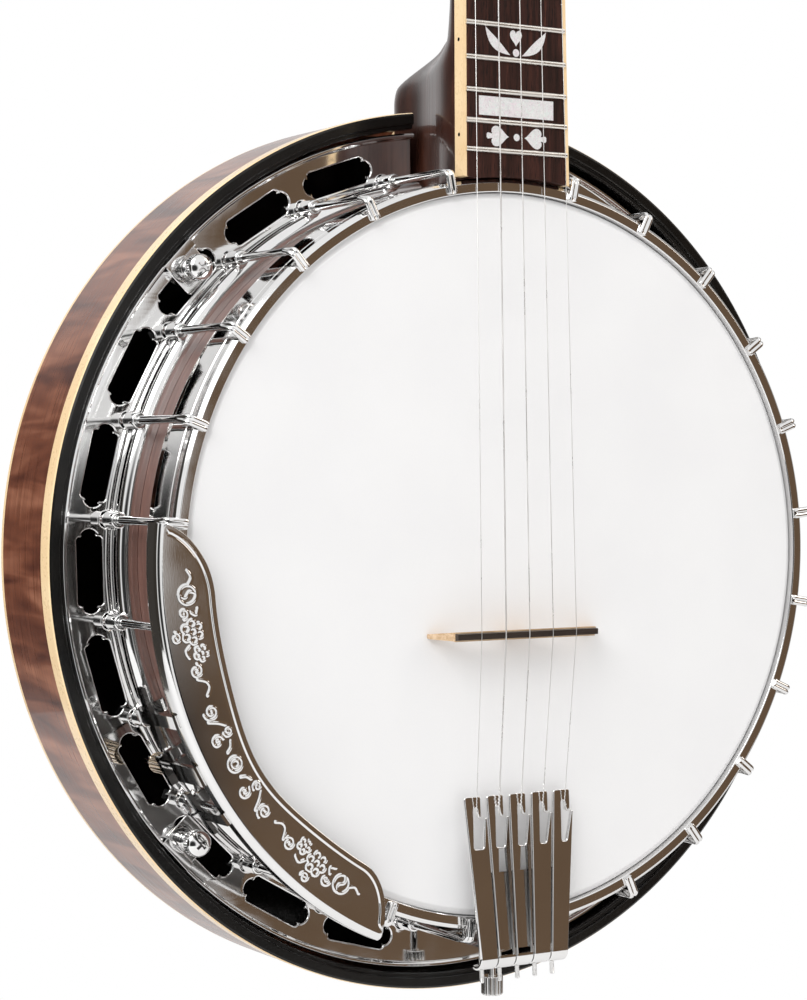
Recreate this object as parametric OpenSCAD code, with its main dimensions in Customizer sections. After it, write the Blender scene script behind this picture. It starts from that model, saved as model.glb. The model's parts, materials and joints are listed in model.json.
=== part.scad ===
// Five-string resonator banjo, upright, with the drum head facing -Y and the neck running up +Z.
// Every module is drawn in a bench frame first: X right, Y towards the pegs, Z out of the drum head.
// The origin of the finished part is the point where a hanger holds the neck at the nut.

/* [Pot] */
// Visible radius of the drum head
head_r = 141; // [140.8:0.1:141.2]
// Outer radius of the tension hoop
hoop_r = 146.3; // [146.2:0.1:146.6]
// Height of the hoop's lip above the drum head
hoop_lip = 1.3; // [1:0.1:1.6]
// Outer radius of the wooden rim under the tone ring
rim_r = 141.6; // [141.5:0.1:141.7]
// Inner radius of the wooden rim
rim_bore_r = 123; // [120:0.5:126]
// Depth of the wooden rim below the drum head
rim_depth = 72; // [70:0.5:74]

/* [Hooks] */
// Radius of the circle that the hook shafts stand on
hook_circle = 150.5; // [150.3:0.1:150.8]
// Angle of the first hook from the neck
hook_first = 11.3; // [11:0.1:11.6]
// Angle from one hook to the next
hook_step = 14.6; // [14.5:0.05:14.65]
// Hooks on each side of the neck
hooks_per_side = 12; // [12:1:12]
// Diameter of a hook's shaft
hook_d = 3; // [2.8:0.1:3.1]

/* [Flange] */
// Depth of the flange plate's front face
plate_depth = 48.5; // [48.3:0.1:48.8]
// Thickness of the flange plate
plate_t = 1.8; // [1.5:0.1:2]
// Outer radius of the flange plate
plate_r = 169.3; // [168.8:0.1:169.5]

/* [Resonator] */
// Outer radius of the resonator's side
reso_r = 176.7; // [176.5:0.1:177]
// Depth of the resonator's front edge
reso_front = 40.7; // [40.5:0.1:41]
// Depth of the joint between the side and the back
reso_seam = 86; // [85:0.5:88]
// How far the carved back bulges behind its edge
reso_arch = 8.2; // [6:0.2:10]
// Height of the front binding
binding_h = 7.6; // [7.4:0.1:7.8]

/* [Neck] */
// Scale length from the nut to the bridge
scale_length = 667; // [666:0.5:668]
// Distance from the centre of the drum head to the nut
nut_y = 636.3; // [636:0.1:637]
// Number of frets
fret_count = 22; // [22:1:22]
// Half width of the fingerboard at its lower end
board_half_low = 24.6; // [24.4:0.1:24.8]
// Half width of the fingerboard at the nut
board_half_nut = 15.9; // [15.6:0.1:16.2]
// Thickness of the fingerboard
board_t = 6; // [5.5:0.1:6.5]
// Height of the fingerboard's face above the drum head at its lower end
board_rise = 4.2; // [4:0.1:4.4]
// Backward tilt of the neck
neck_tilt = 0.6; // [0.4:0.05:0.7]
// Thickness of the neck's wood at the heel end of the shaft
shaft_deep = 18; // [17:0.5:19]
// Thickness of the neck's wood at the nut
shaft_thin = 14.5; // [14:0.5:15]
// Depth of the heel below the neck's top
heel_deep = 74; // [72:0.5:75]

/* [Headstock] */
// Backward angle of the headstock
peghead_angle = 12; // [10:0.5:14]
// Length of the headstock
peghead_length = 158; // [154:1:162]
// Thickness of the headstock's wood
peghead_t = 14; // [13:0.5:15]

/* [Strings and bridge] */
// Height of the bridge above the drum head
bridge_h = 12.5; // [12.2:0.1:12.8]
// Distance of the bridge below the centre of the drum head
bridge_drop = 30.4; // [30:0.1:31]
// Spacing of the strings at the bridge
bridge_pitch = 11; // [10.8:0.1:11.2]

/* [Tailpiece] */
// Distance of the tailpiece's front end from the centre of the drum head
tail_front = 92.5; // [92:0.5:93]
// Distance of the tailpiece's rear bend from the centre of the drum head
tail_rear = 155; // [154.5:0.5:156]
// Width of the tailpiece at its front end
tail_w_front = 52; // [51:0.5:53]
// Width of the tailpiece at its rear bend
tail_w_rear = 41; // [40:0.5:42]

/* [Hidden] */

$fa = 4;
$fs = 0.5;
ring_fn = 96;
eps = 0.05;

// Hanger point: the middle of the neck's thickness at the nut
hang_y = 640;
hang_z = -12;

// Hook and gap angles, measured from the neck, positive to the right
hook_angles = [for (side = [-1, 1]) for (k = [0 : hooks_per_side - 1])
    side * (hook_first + k * hook_step)];
gap_angles = [for (side = [-1, 1]) for (k = [0 : hooks_per_side - 2])
    side * (hook_first + (k + 0.5) * hook_step)];
screw_angles = [for (side = [-1, 1]) for (a = [46.4, 132.7]) side * a];
screw_circle = 159.9;
plate_front = -plate_depth;
plate_back = -plate_depth - plate_t;

module place() {
    translate([0, hang_z, -hang_y]) rotate([90, 0, 0]) children();
}

module around(angle, radius) {
    rotate([0, 0, -angle]) translate([0, radius, 0]) children();
}

module turned(profile) {
    rotate_extrude($fn = ring_fn) polygon(profile);
}

module rod(from, to, d) {
    run = to - from;
    length = norm(run);
    tilt = acos(run[2] / length);
    swing = atan2(run[1], run[0]);
    translate(from) rotate([0, tilt, swing]) cylinder(h = length, d = d, $fn = 16);
}

function smooth(t) = t <= 0 ? 0 : t >= 1 ? 1 : t * t * (3 - 2 * t);

// ---- Pot ----

step_depth = 39.6;
rim_low_r = 137.5;
ring_depth = 17.5;
skirt_depth = 28.8;

module wood_rim() {
    color("peru") difference() {
        turned([[rim_bore_r, -ring_depth], [rim_r, -ring_depth], [rim_r, -step_depth],
                [rim_low_r, -step_depth], [rim_low_r, -rim_depth], [rim_bore_r, -rim_depth]]);
        rim_bolt_holes();
    }
}

rod_heights = [-32, -58];
rod_d = 6;

module rim_bolt_holes() {
    for (z = rod_heights) {
        translate([0, -160, z]) rotate([-90, 0, 0]) cylinder(h = 320, d = rod_d + 0.2, $fn = 32);
    }
}

module tone_ring() {
    color("silver") turned([[138, -0.45], [140.2, -1.8], [140.4, -14], [143, -15.5],
        [143, -skirt_depth], [rim_r, -skirt_depth], [rim_r, -ring_depth], [124.5, -ring_depth],
        [124.5, -12.5], [131, -9.5], [136.2, -1.4]]);
}

module drum_head() {
    color("white") turned([[0, -0.35], [138.2, -0.35], [140.35, -1.8], [140.5, -9],
        [140.5, -13], [143.6, -13], [143.6, -9], [140.95, -9], [140.9, -1.6], [138.4, 0], [0, 0]]);
}

hoop_depth = 19;

module tension_hoop() {
    color("silver") turned([[head_r + 0.05, hoop_lip - 0.3], [head_r + 0.35, hoop_lip],
        [hoop_r - 1.6, hoop_lip],
        [hoop_r - 0.3, 0], [hoop_r, -1], [hoop_r, -5], [hoop_r - 0.4, -5.4], [hoop_r, -5.8],
        [hoop_r, -hoop_depth + 1], [hoop_r - 0.6, -hoop_depth], [143.9, -hoop_depth],
        [143.9, -8.7], [head_r + 0.05, -8.7]]);
}

// ---- Flange with its tube ring, bosses and openings ----

tube_r = 4.3;
tube_circle = 145.2;
boss_r = 3.1;
boss_top = -38.4;
opening_r = 157;
opening_long = 24;
opening_wide = 10.2;
tongue_r = 3.8;

module opening_outline() {
    square([opening_long, opening_wide], center = true);
    for (side = [-1, 1]) {
        translate([side * opening_long / 2, 0]) circle(tongue_r, $fn = 24);
        for (edge = [-1, 1]) {
            translate([side * (opening_long / 2 - 0.4), edge * (opening_wide / 2 - 1.3)])
                circle(1.3, $fn = 16);
        }
    }
}

module flange() {
    heel_gap = 32;
    hole_r = hook_d / 2 + 0.2;
    color("silver") difference() {
        union() {
            turned([[rim_low_r + 0.1, plate_back], [plate_r - 0.4, plate_back],
                    [plate_r, plate_back + 0.4], [plate_r, plate_front + 1.4],
                    [plate_r - 0.7, plate_front + 2.1], [plate_r - 1.6, plate_front + 1.8],
                    [plate_r - 2.4, plate_front], [tube_circle + 2, plate_front],
                    [tube_circle + 0.5, -step_depth - 0.1], [rim_low_r + 0.1, -step_depth - 0.1]]);
            rotate_extrude($fn = ring_fn) translate([tube_circle, -step_depth - 0.1 - tube_r])
                circle(tube_r, $fn = 40);
            for (a = hook_angles) {
                around(a, hook_circle) translate([0, 0, plate_front - 0.5])
                    cylinder(h = boss_top - plate_front + 0.5, r = boss_r, $fn = 32);
            }
        }
        for (a = hook_angles) {
            around(a, hook_circle) translate([0, 0, plate_back - 1])
                cylinder(h = 30, r = hole_r, $fn = 32);
        }
        for (a = gap_angles) {
            around(a, opening_r) translate([0, 0, plate_back - 1])
                linear_extrude(plate_t + 2) opening_outline();
        }
        translate([-heel_gap / 2, 100, plate_back - 1]) cube([heel_gap, 100, 30]);
    }
}

// ---- Bracket hooks and nuts ----

hook_claw_w = 4.4;
hook_end = -61;

module hook() {
    cylinder(h = 1.5 - hook_end - 3.5, d = hook_d, $fn = 24);
}

module bracket_hooks() {
    claw = [[-8.3, 1.4], [-8.6, 2.2], [-7.8, 2.9], [-2, 3], [0.2, 2.3], [1.5, 0.6], [1.5, -4],
            [-1.5, -4], [-1.5, -1.4], [-2.2, 0.2], [-3.5, 1], [-5.2, 1.4]];
    color("silver") for (a = hook_angles) {
        around(a, hook_circle) {
            translate([0, 0, hook_end]) hook();
            rotate([90, 0, 90]) linear_extrude(hook_claw_w, center = true) polygon(claw);
        }
    }
}

nut_h = 11;

module bracket_nuts() {
    color("silver") for (a = hook_angles) {
        around(a, hook_circle) translate([0, 0, plate_back - nut_h]) difference() {
            cylinder(h = nut_h - eps, d = 7.2, $fn = 6);
            translate([0, 0, -1]) cylinder(h = nut_h + 2, d = hook_d + 0.06, $fn = 24);
        }
    }
}

// ---- Resonator ----

side_wall = 5.1;
lip_r = 170.5;
binding_t = 1.5;
binding_low = -reso_front - 0.5 - binding_h;
reso_inner = reso_r - side_wall;
back_r = reso_r - 2;

module heel_notch() {
    notch_half = 19.5;
    notch_low = -79.5;
    translate([-notch_half, 150, notch_low]) cube([2 * notch_half, 40, 60]);
}

module resonator_side() {
    color("sienna") difference() {
        turned([[reso_inner, binding_low], [reso_r, binding_low], [reso_r, -reso_seam],
                [reso_inner, -reso_seam]]);
        heel_notch();
    }
}

module resonator_front_binding() {
    color("moccasin") difference() {
        turned([[reso_r - binding_t, -reso_front - 0.5], [reso_r - 0.2, -reso_front - 0.5],
                [reso_r + 0.2, -reso_front - 1], [reso_r + 0.2, binding_low],
                [reso_r - binding_t, binding_low]]);
        heel_notch();
    }
}

module resonator_lip() {
    color("black") difference() {
        turned([[lip_r, binding_low], [lip_r, -reso_front - 0.8], [lip_r + 0.8, -reso_front],
                [reso_r - 1, -reso_front], [reso_r - 0.2, -reso_front - 0.5],
                [reso_r - binding_t, -reso_front - 0.5], [reso_r - binding_t, binding_low]]);
        heel_notch();
    }
}

arch_steps = 14;
arch_flat = 45;
back_t = 4.4;
arch_base = -reso_seam - 2.6;

function arch(r) = arch_base - reso_arch * (1 - pow(max(0, (r - arch_flat) / (back_r - arch_flat)), 2));

module resonator_back() {
    outer = [for (k = [0 : arch_steps]) let (r = arch_flat + (back_r - arch_flat) * k / arch_steps)
        [r, arch(r)]];
    inner_r = reso_inner - 3;
    inner = [for (k = [arch_steps : -1 : 0]) let (r = arch_flat + (inner_r - arch_flat) * k / arch_steps)
        [r, arch(r) + back_t]];
    color("sienna") turned(concat([[0, arch(0)]], outer, [[back_r, -reso_seam]],
        [[inner_r, -reso_seam]], inner, [[0, arch(0) + back_t]]));
}

module resonator_back_binding() {
    color("moccasin") turned([[back_r, -reso_seam], [reso_r, -reso_seam],
        [reso_r, arch_base + 0.6], [reso_r - 0.5, arch_base + 0.1], [back_r, arch_base]]);
}

lug_top = -56;
lug_t = 2.4;
lug_w = 12;
screw_d = 3.8;

module resonator_lugs() {
    reach = reso_inner - 0.4 - screw_circle;
    color("silver") for (a = screw_angles) {
        around(a, screw_circle) difference() {
            union() {
                translate([0, 0, lug_top - lug_t]) cylinder(h = lug_t, d = lug_w, $fn = 32);
                translate([-lug_w / 2, 0, lug_top - lug_t]) cube([lug_w, reach - 0.2, lug_t]);
                translate([-lug_w / 2, reach - 2.4, lug_top - 15]) cube([lug_w, 2.2, 19.6]);
            }
            translate([0, 0, lug_top - 10]) cylinder(h = 20, d = screw_d + 0.14, $fn = 32);
        }
    }
}

washer_t = 1.4;

module screw_washers() {
    color("silver") for (a = screw_angles) {
        around(a, screw_circle) translate([0, 0, plate_front]) difference() {
            union() {
                translate([0, -0.8, washer_t / 2]) cube([15, 13, washer_t], center = true);
                translate([-7.5, 4.5, 0]) cube([15, 1.2, 3.4]);
                translate([-7.5, 4.5, 2.4]) cube([15, 4.4, 1]);
            }
            translate([0, 0, -1]) cylinder(h = 4, d = screw_d + 0.14, $fn = 32);
        }
    }
}

screw_head_r = 5.2;
screw_head_h = 4.4;
screw_neck_h = 5.5;

module resonator_screw(index) {
    dome = 2.2;
    shank_end = -63;
    seat = plate_front + washer_t + eps;
    dome_ball = (screw_head_r * screw_head_r + dome * dome) / (2 * dome);
    color("silver") around(screw_angles[index], screw_circle) {
        translate([0, 0, shank_end]) cylinder(h = seat - shank_end + 1, d = screw_d, $fn = 32);
        translate([0, 0, seat]) cylinder(h = screw_neck_h, r = 3.6, $fn = 32);
        translate([0, 0, seat + screw_neck_h]) difference() {
            union() {
                cylinder(h = screw_head_h, r = screw_head_r, $fn = 48);
                translate([0, 0, screw_head_h]) intersection() {
                    translate([0, 0, dome - dome_ball]) sphere(dome_ball, $fn = 64);
                    cylinder(h = dome, r = screw_head_r, $fn = 48);
                }
            }
            for (turn = [0, 90]) {
                rotate([0, 0, turn]) translate([0, 0, screw_head_h + dome])
                    cube([4.8, 1.2, 2.2], center = true);
            }
        }
    }
}

// ---- Coordinator rods ----

module coordinator_rods() {
    reach = 134;
    color("silver") for (z = rod_heights) {
        translate([0, -reach, z]) rotate([-90, 0, 0]) cylinder(h = 2 * reach, d = rod_d, $fn = 32);
    }
}

module rod_nuts() {
    color("silver") for (z = rod_heights) {
        for (side = [-1, 1]) {
            translate([0, side * 118.6, z]) rotate([90, 0, 0]) difference() {
                cylinder(h = 6, d = 12, $fn = 6, center = true);
                cylinder(h = 10, d = rod_d + 0.06, $fn = 32, center = true);
            }
        }
    }
}

// ---- Neck frame: X right, S along the neck from the pot's edge, H above the fingerboard ----

board_low_y = 146;
nut_s = nut_y - board_low_y;

function fret_s(n) = nut_s - scale_length * (1 - pow(2, -n / 12));

fifth_s = fret_s(5);
shoulder_s = fifth_s + 12;
shoulder_run = 18;
left_half_fifth = 23.4;

module on_neck() {
    translate([0, board_low_y, board_rise]) rotate([-neck_tilt, 0, 0]) children();
}

function neck_point(x, s, h) = [x,
    board_low_y + s * cos(neck_tilt) + h * sin(neck_tilt),
    board_rise - s * sin(neck_tilt) + h * cos(neck_tilt)];

function right_half(s) = board_half_low - (board_half_low - board_half_nut) * s / nut_s;
function left_wide(s) = board_half_low - (board_half_low - left_half_fifth) * s / fifth_s;
function left_half(s) = left_wide(s) + (right_half(s) - left_wide(s))
    * smooth((s - shoulder_s) / shoulder_run);

shoulder_steps = 8;
left_stations = concat([0], [for (k = [0 : shoulder_steps]) shoulder_s + shoulder_run * k
    / shoulder_steps], [nut_s]);

function board_outline(inset, low) = concat([[right_half(low) - inset, low],
    [right_half(nut_s) - inset, nut_s]],
    [for (k = [len(left_stations) - 1 : -1 : 0]) let (s = max(low, left_stations[k]))
        [-left_half(s) + inset, s]]);

board_binding = 1.6;

module hoop_clearance(extra) {
    cylinder(h = 60, r = hoop_r + extra, center = true, $fn = ring_fn);
}

module fingerboard() {
    color("#33150f") difference() {
        on_neck() translate([0, 0, -board_t]) linear_extrude(board_t)
            polygon(board_outline(board_binding, -6));
        hoop_clearance(0.3);
        on_neck() inlay_pieces(inlay_t + 1, 1);
    }
}

module fingerboard_binding() {
    color("moccasin") difference() {
        on_neck() translate([0, 0, -board_t]) linear_extrude(board_t) difference() {
            polygon(board_outline(0, -6));
            polygon(board_outline(board_binding, -20));
        }
        hoop_clearance(0.3);
        on_neck() dot_pieces(1);
    }
}

fret_r = 1.05;

module frets() {
    inset = 1.1;
    color("silver") on_neck() for (n = [1 : fret_count]) {
        s = fret_s(n);
        translate([-left_half(s) + inset, s, 0]) rotate([90, 0, 90])
            linear_extrude(left_half(s) + right_half(s) - 2 * inset) intersection() {
                circle(fret_r, $fn = 24);
                translate([-2, 0]) square([4, 2]);
            }
    }
}

dot_frets = [3, 5, 7, 10, 12, 15, 17, 19, 22];
dot_d = 1.5;

module dot_pieces(proud) {
    for (n = dot_frets) {
        s = (fret_s(n) + fret_s(n - 1)) / 2;
        translate([-left_half(s) - 1 + (1 - proud) * 0.95, s, -board_t / 2]) rotate([0, 90, 0])
            cylinder(h = 1.9 - (1 - proud) * 0.95, d = dot_d, $fn = 20);
    }
}

module side_dots() {
    color("black") on_neck() dot_pieces(0);
}

// ---- Pearl inlays: hearts, leaves, dots and a plain block ----

inlay_t = 1;
heart_steps = 24;

function heart_point(t, size) = [size * 0.56 * pow(sin(t), 3) * 1.15,
    size * (0.42 * cos(t) - 0.16 * cos(2 * t) - 0.065 * cos(3 * t) - 0.03 * cos(4 * t))];

module heart(size) {
    polygon([for (k = [0 : heart_steps - 1]) heart_point(360 * k / heart_steps, size)]);
}

// A heart drawn out along its length, with a stem in the dip between its lobes
module spade(size) {
    polygon(concat([for (k = [3 : 27]) let (p = heart_point(360 * k / 30, size)) [0.92 * p[0], 1.3 * p[1]]],
        [[-0.18 * size, 0.74 * size], [-0.1 * size, 0.82 * size],
        [0.1 * size, 0.82 * size], [0.18 * size, 0.74 * size]]));
}

// Two spades that point at a dot between them
module spade_pair(size, apart) {
    circle(1.4, $fn = 24);
    for (side = [-1, 1]) {
        translate([side * apart, 0]) rotate(-90 * side) spade(size);
    }
}

module leaf(length, width, bend) {
    steps = 10;
    upper = [for (k = [0 : steps]) let (t = k / steps)
        [length * (t - 0.5), bend * 4 * t * (1 - t) + width * sin(180 * t) / 2]];
    lower = [for (k = [steps - 1 : -1 : 1]) let (t = k / steps)
        [length * (t - 0.5), bend * 4 * t * (1 - t) - width * sin(180 * t) / 2]];
    polygon(concat(upper, lower));
}

module flower(size, petals) {
    for (k = [0 : petals - 1]) {
        rotate(360 * k / petals) translate([0, size * 0.36]) scale([0.62, 1]) circle(size * 0.3, $fn = 20);
    }
}

function fret_mid(n) = (fret_s(n) + fret_s(n - 1)) / 2;

flower_frets = [5, 10, 15];
heart_frets = [3, 7, 12, 17];

module inlay_outlines() {
    translate([0, fret_mid(22)]) {
        spade_pair(6.8, 8.3);
    }
    translate([0, fret_mid(21)]) square([34.6, 7.4], center = true);
    translate([0, fret_mid(19)]) {
        translate([0, -3.7]) circle(1.5, $fn = 24);
        translate([0, 2.4]) scale([0.72, 1.15]) heart(6);
        translate([-8.4, 0.4]) rotate(-42) leaf(15.4, 3.8, -1.6);
        translate([8.4, 0.4]) rotate(42) leaf(15.4, 3.8, -1.6);
    }
    for (n = flower_frets) {
        translate([0, fret_mid(n)]) flower(13, 6);
    }
    for (n = heart_frets) {
        translate([0, fret_mid(n)]) {
            spade_pair(6.8, 7.6);
        }
    }
}

module inlay_pieces(thick, proud) {
    translate([0, 0, -inlay_t]) linear_extrude(inlay_t + (proud > 0 ? thick : 0.02)) inlay_outlines();
}

module fingerboard_inlays() {
    color("lavenderblush") on_neck() inlay_pieces(0, 0);
}

// ---- Neck: a lofted shaft and heel, and the flat headstock ----

heel_flat = 12.5;
heel_hold = 38;
heel_end = 88;
heel_pinch = 8.6;
loft_n = 24;
shaft_end = nut_s + 3;
// The loft stands this far above the neck's flat top, and the neck is then cut flat
loft_spare = 1;
heel_stations = [-9, 4, 18, 32, 39, 44, 47, 50, 53, 57, 62, 67, 72, 77, 82, 90];
shaft_stations = [130, 200, 270, shoulder_s];
shoulder_stations = [for (k = [1 : shoulder_steps]) shoulder_s + shoulder_run * k / shoulder_steps];
loft_stations = concat(heel_stations, shaft_stations, shoulder_stations, [400, 450, shaft_end]);

function heel_share(s) = 1 - smooth((s - heel_hold) / (heel_end - heel_hold));
function shaft_depth(s) = shaft_deep + (shaft_thin - shaft_deep) * max(0, s) / nut_s;

// The rounded end of the heel stands this much deeper than the slope behind it
heel_knob = 24;
knob_hold = 44;
knob_end = 56;
function wood_depth(s) = shaft_depth(s) + (heel_deep - heel_knob - shaft_depth(s)) * heel_share(s)
    + heel_knob * (1 - smooth((s - knob_hold) / (knob_end - knob_hold)));
function wood_x(half, s, c) = heel_flat * heel_share(s) * pow(c, 0.25)
    + (half - heel_flat * heel_share(s)) * pow(c, 1 + heel_pinch * heel_share(s));

function loft_ring(s) = concat([[right_half(s), s, loft_spare - board_t]],
    [for (k = [0 : loft_n]) let (a = 180 * k / loft_n, c = abs(cos(a)))
        [a <= 90 ? wood_x(right_half(s), s, c) : -wood_x(left_half(s), s, c), s,
         -board_t - wood_depth(s) * sin(a)]],
    [[-left_half(s), s, loft_spare - board_t]]);

module loft(stations) {
    rings = len(stations);
    across = loft_n + 3;
    points = [for (s = stations) each loft_ring(s)];
    sides = [for (m = [0 : rings - 2]) for (k = [0 : across - 1]) let (
        a = m * across + k,
        b = m * across + (k + 1) % across,
        c = a + across,
        d = b + across) each [[a, c, b], [b, c, d]]];
    low_cap = [[for (k = [0 : across - 1]) k]];
    high_cap = [[for (k = [across - 1 : -1 : 0]) (rings - 1) * across + k]];
    polyhedron(points, concat(sides, low_cap, high_cap), convexity = 6);
}

peghead_s = nut_s + 5;

module on_peghead() {
    on_neck() translate([0, peghead_s, -board_t]) rotate([-peghead_angle, 0, 0]) children();
}

function peghead_point(x, t, h) = neck_point(x,
    peghead_s + t * cos(peghead_angle) + h * sin(peghead_angle),
    -board_t - t * sin(peghead_angle) + h * cos(peghead_angle));

peghead_steps = 16;
crest_half = 31;
crest_start = 138;

function peghead_half(t) = board_half_nut + 0.3 + (crest_half - board_half_nut) * smooth(t / 30)
    - 4.5 * pow(sin(180 * max(0, t - 30) / (crest_start - 30)), 2);

function peghead_side(side) = concat([[side * peghead_half(0), -4]],
    [for (k = [1 : peghead_steps]) let (t = crest_start * k / peghead_steps)
        [side * peghead_half(t), t]]);

function crest() = [for (k = [1 : peghead_steps - 1]) let (a = 180 * k / peghead_steps)
    [crest_half * cos(a), crest_start + (peghead_length - crest_start)
        * (pow(sin(a), 0.7) - 0.22 * pow(sin(a), 8))]];

function reversed(list) = [for (k = [len(list) - 1 : -1 : 0]) list[k]];

module peghead_outline() {
    polygon(concat(peghead_side(1), crest(), reversed(peghead_side(-1))));
}

peg_places = [[-20.5, 38], [-18.5, 92], [18.5, 92], [20.5, 38]];
bushing_r = 5;
truss_d = 5;
channel_w = 6;
channel_low = -9.5;

module peg_holes(radius) {
    for (p = peg_places) {
        translate([p[0], p[1], -40]) cylinder(h = 80, r = radius, $fn = 40);
    }
}

// Everything above the neck's flat top
module above_neck() {
    on_neck() translate([-60, -40, -board_t]) cube([120, nut_s + 240, 40]);
}

module neck() {
    fifth_r = 3.5;
    color("#3a1c12") difference() {
        union() {
            difference() {
                on_neck() loft(loft_stations);
                above_neck();
            }
            difference() {
                on_peghead() translate([0, 0, -peghead_t]) linear_extrude(peghead_t) peghead_outline();
                above_neck();
            }
        }
        hoop_clearance(0.3);
        translate([0, 0, -100]) cylinder(h = 100 - step_depth - 0.1, r = rim_low_r + 0.1, $fn = ring_fn);
        translate([0, 0, -step_depth - 1]) cylinder(h = 20, r = 143.1, $fn = ring_fn);
        on_peghead() peg_holes(bushing_r);
        on_neck() translate([-channel_w / 2, 20, -board_t + channel_low])
            cube([channel_w, nut_s + 10, -channel_low + 1]);
        on_peghead() translate([-channel_w / 2 + 0.2, -6, channel_low]) cube([channel_w - 0.4, 36, 20]);
        on_neck() fifth_peg_frame() translate([0, 0, -15]) cylinder(h = 30, r = fifth_r, $fn = 32);
        for (z = rod_heights) {
            translate([0, 100, z]) rotate([-90, 0, 0]) cylinder(h = 70, d = rod_d, $fn = 32);
        }
    }
}

module heel_cap() {
    cap_t = 2;
    low = -board_t - heel_deep;
    color("moccasin") difference() {
        on_neck() translate([0, 0, low - cap_t]) linear_extrude(cap_t - eps) hull() {
            translate([-10, -8]) square([20, 20]);
            translate([0, 22]) circle(9, $fn = 32);
        }
        translate([0, 0, -100]) cylinder(h = 90, r = rim_low_r + 0.1, $fn = ring_fn);
    }
}

module string_nut() {
    color("ivory") on_neck() difference() {
        translate([-board_half_nut, nut_s, -board_t]) rotate([90, 0, 90])
            linear_extrude(2 * board_half_nut)
                polygon([[0, 0], [4.9, 0], [4.9, board_t + 0.2], [0.6, board_t + 1.5], [0, board_t + 1.5]]);
        translate([-channel_w / 2, nut_s - 1, -board_t - 1]) cube([channel_w, 8, 2]);
    }
}

fifth_nut_x = -20.1;

module fifth_string_nut() {
    color("ivory") on_neck() translate([fifth_nut_x, fifth_s + 3, 0]) {
        cylinder(h = 1.9, d = 3.2, $fn = 24);
    }
}

overlay_t = 1.8;

module headstock_overlay() {
    color("#181818") on_peghead() difference() {
        linear_extrude(overlay_t) difference() {
            peghead_outline();
            translate([-60, -10]) square([120, 10.4]);
        }
        peg_holes(bushing_r);
        translate([-channel_w / 2, -6, -1]) cube([channel_w, 36, 20]);
    }
}

module truss_rod() {
    color("gray") on_neck() translate([0, 24, -board_t + channel_low + truss_d / 2 + 0.2])
        rotate([-90, 0, 0]) cylinder(h = nut_s - 22, d = truss_d, $fn = 32);
}

cover_screw_places = [12, 40];

module truss_rod_cover() {
    color("black") on_peghead() translate([0, 0, overlay_t]) difference() {
        linear_extrude(1.8) hull() {
            translate([-9, 4]) square([18, 4]);
            translate([-5, 30]) square([10, 10]);
            translate([0, 41]) circle(4, $fn = 24);
        }
        for (t = cover_screw_places) {
            translate([0, t, -1]) cylinder(h = 4, d = 2.2, $fn = 20);
        }
    }
}

module cover_screws() {
    color("silver") on_peghead() for (t = cover_screw_places) {
        translate([0, t, overlay_t + 1.8]) difference() {
            cylinder(h = 1.1, r1 = 2.1, r2 = 1.4, $fn = 24);
            translate([0, 0, 0.9]) cube([4, 0.6, 0.8], center = true);
        }
    }
}

// ---- Bridge ----

bridge_foot_l = 77.6;
bridge_top_l = 65;
cap_h = 2.2;

module bridge_body() {
    shoulder = bridge_h - cap_h;
    color("burlywood") translate([0, -bridge_drop, 0]) difference() {
        rotate([90, 0, 0]) linear_extrude(4, center = true) difference() {
            polygon([[-bridge_foot_l / 2, 0.05], [bridge_foot_l / 2, 0.05], [bridge_foot_l / 2, 2.2],
                [bridge_top_l / 2, shoulder - 1.8], [bridge_top_l / 2, shoulder],
                [-bridge_top_l / 2, shoulder], [-bridge_top_l / 2, shoulder - 1.8],
                [-bridge_foot_l / 2, 2.2]]);
            for (side = [-1, 1]) {
                translate([side * 19, 0]) intersection() {
                    scale([13 / 6, 1]) circle(6, $fn = 48);
                    translate([-20, -1]) square([40, 10]);
                }
            }
        }
        for (side = [-1, 1]) {
            translate([0, side * 2.05, shoulder + 2]) rotate([side * -6, 0, 0])
                translate([-50, side > 0 ? 0 : -4, -30]) cube([100, 4, 40]);
        }
    }
}

module bridge_cap() {
    color("#1c1210") translate([0, -bridge_drop, bridge_h - cap_h]) rotate([90, 0, 90])
        linear_extrude(bridge_top_l, center = true)
            polygon([[-1.35, 0.02], [1.35, 0.02], [1.1, cap_h], [-1.1, cap_h]]);
}

// ---- Strings: fifth to first, from left to right ----

string_d = [0.3, 0.6, 0.45, 0.36, 0.3];
string_index = [0 : 4];
nut_pitch = 8;
string_gap = 0.08;

function bridge_x(k) = (k - 2) * bridge_pitch;
function bridge_point(k) = [bridge_x(k), -bridge_drop, bridge_h + string_d[k] / 2 + string_gap];
function nut_x(k) = (k - 2.5) * nut_pitch;
function nut_point(k) = k == 0
    ? neck_point(fifth_nut_x - 0.9, fifth_s + 4.6, 1.9 + 0.7 * string_d[k] + string_gap)
    : neck_point(nut_x(k), nut_s + 0.3, 1.5 + 0.7 * string_d[k] + string_gap);

post_r = 3;
waist_r = 2.2;
waist_h = overlay_t + 9;

function post_side(k) = k <= 2 ? 1 : -1;
function post_point(k) = let (p = peg_places[k - 1])
    peghead_point(p[0] + post_side(k) * (waist_r + 0.35 + string_d[k] / 2), p[1], waist_h);

// Turns of string round a post, as one short sleeve
module winding(radius, d) {
    turns = 3;
    translate([0, 0, -turns * d / 2]) difference() {
        cylinder(h = turns * d, r = radius + 1.4 * d, $fn = 32);
        translate([0, 0, -1]) cylinder(h = turns * d + 2, r = radius, $fn = 32);
    }
}

// A string bends round a small ball where it turns over a nut
module bend(point, d) {
    translate(point) sphere(d = 1.4 * d, $fn = 16);
}

// Where the fifth string clears the edge of the fingerboard on its way down to the peg
function edge_point() = neck_point(-left_half(fifth_s) - 0.8, fifth_s + 5.6, 0.5);

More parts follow.
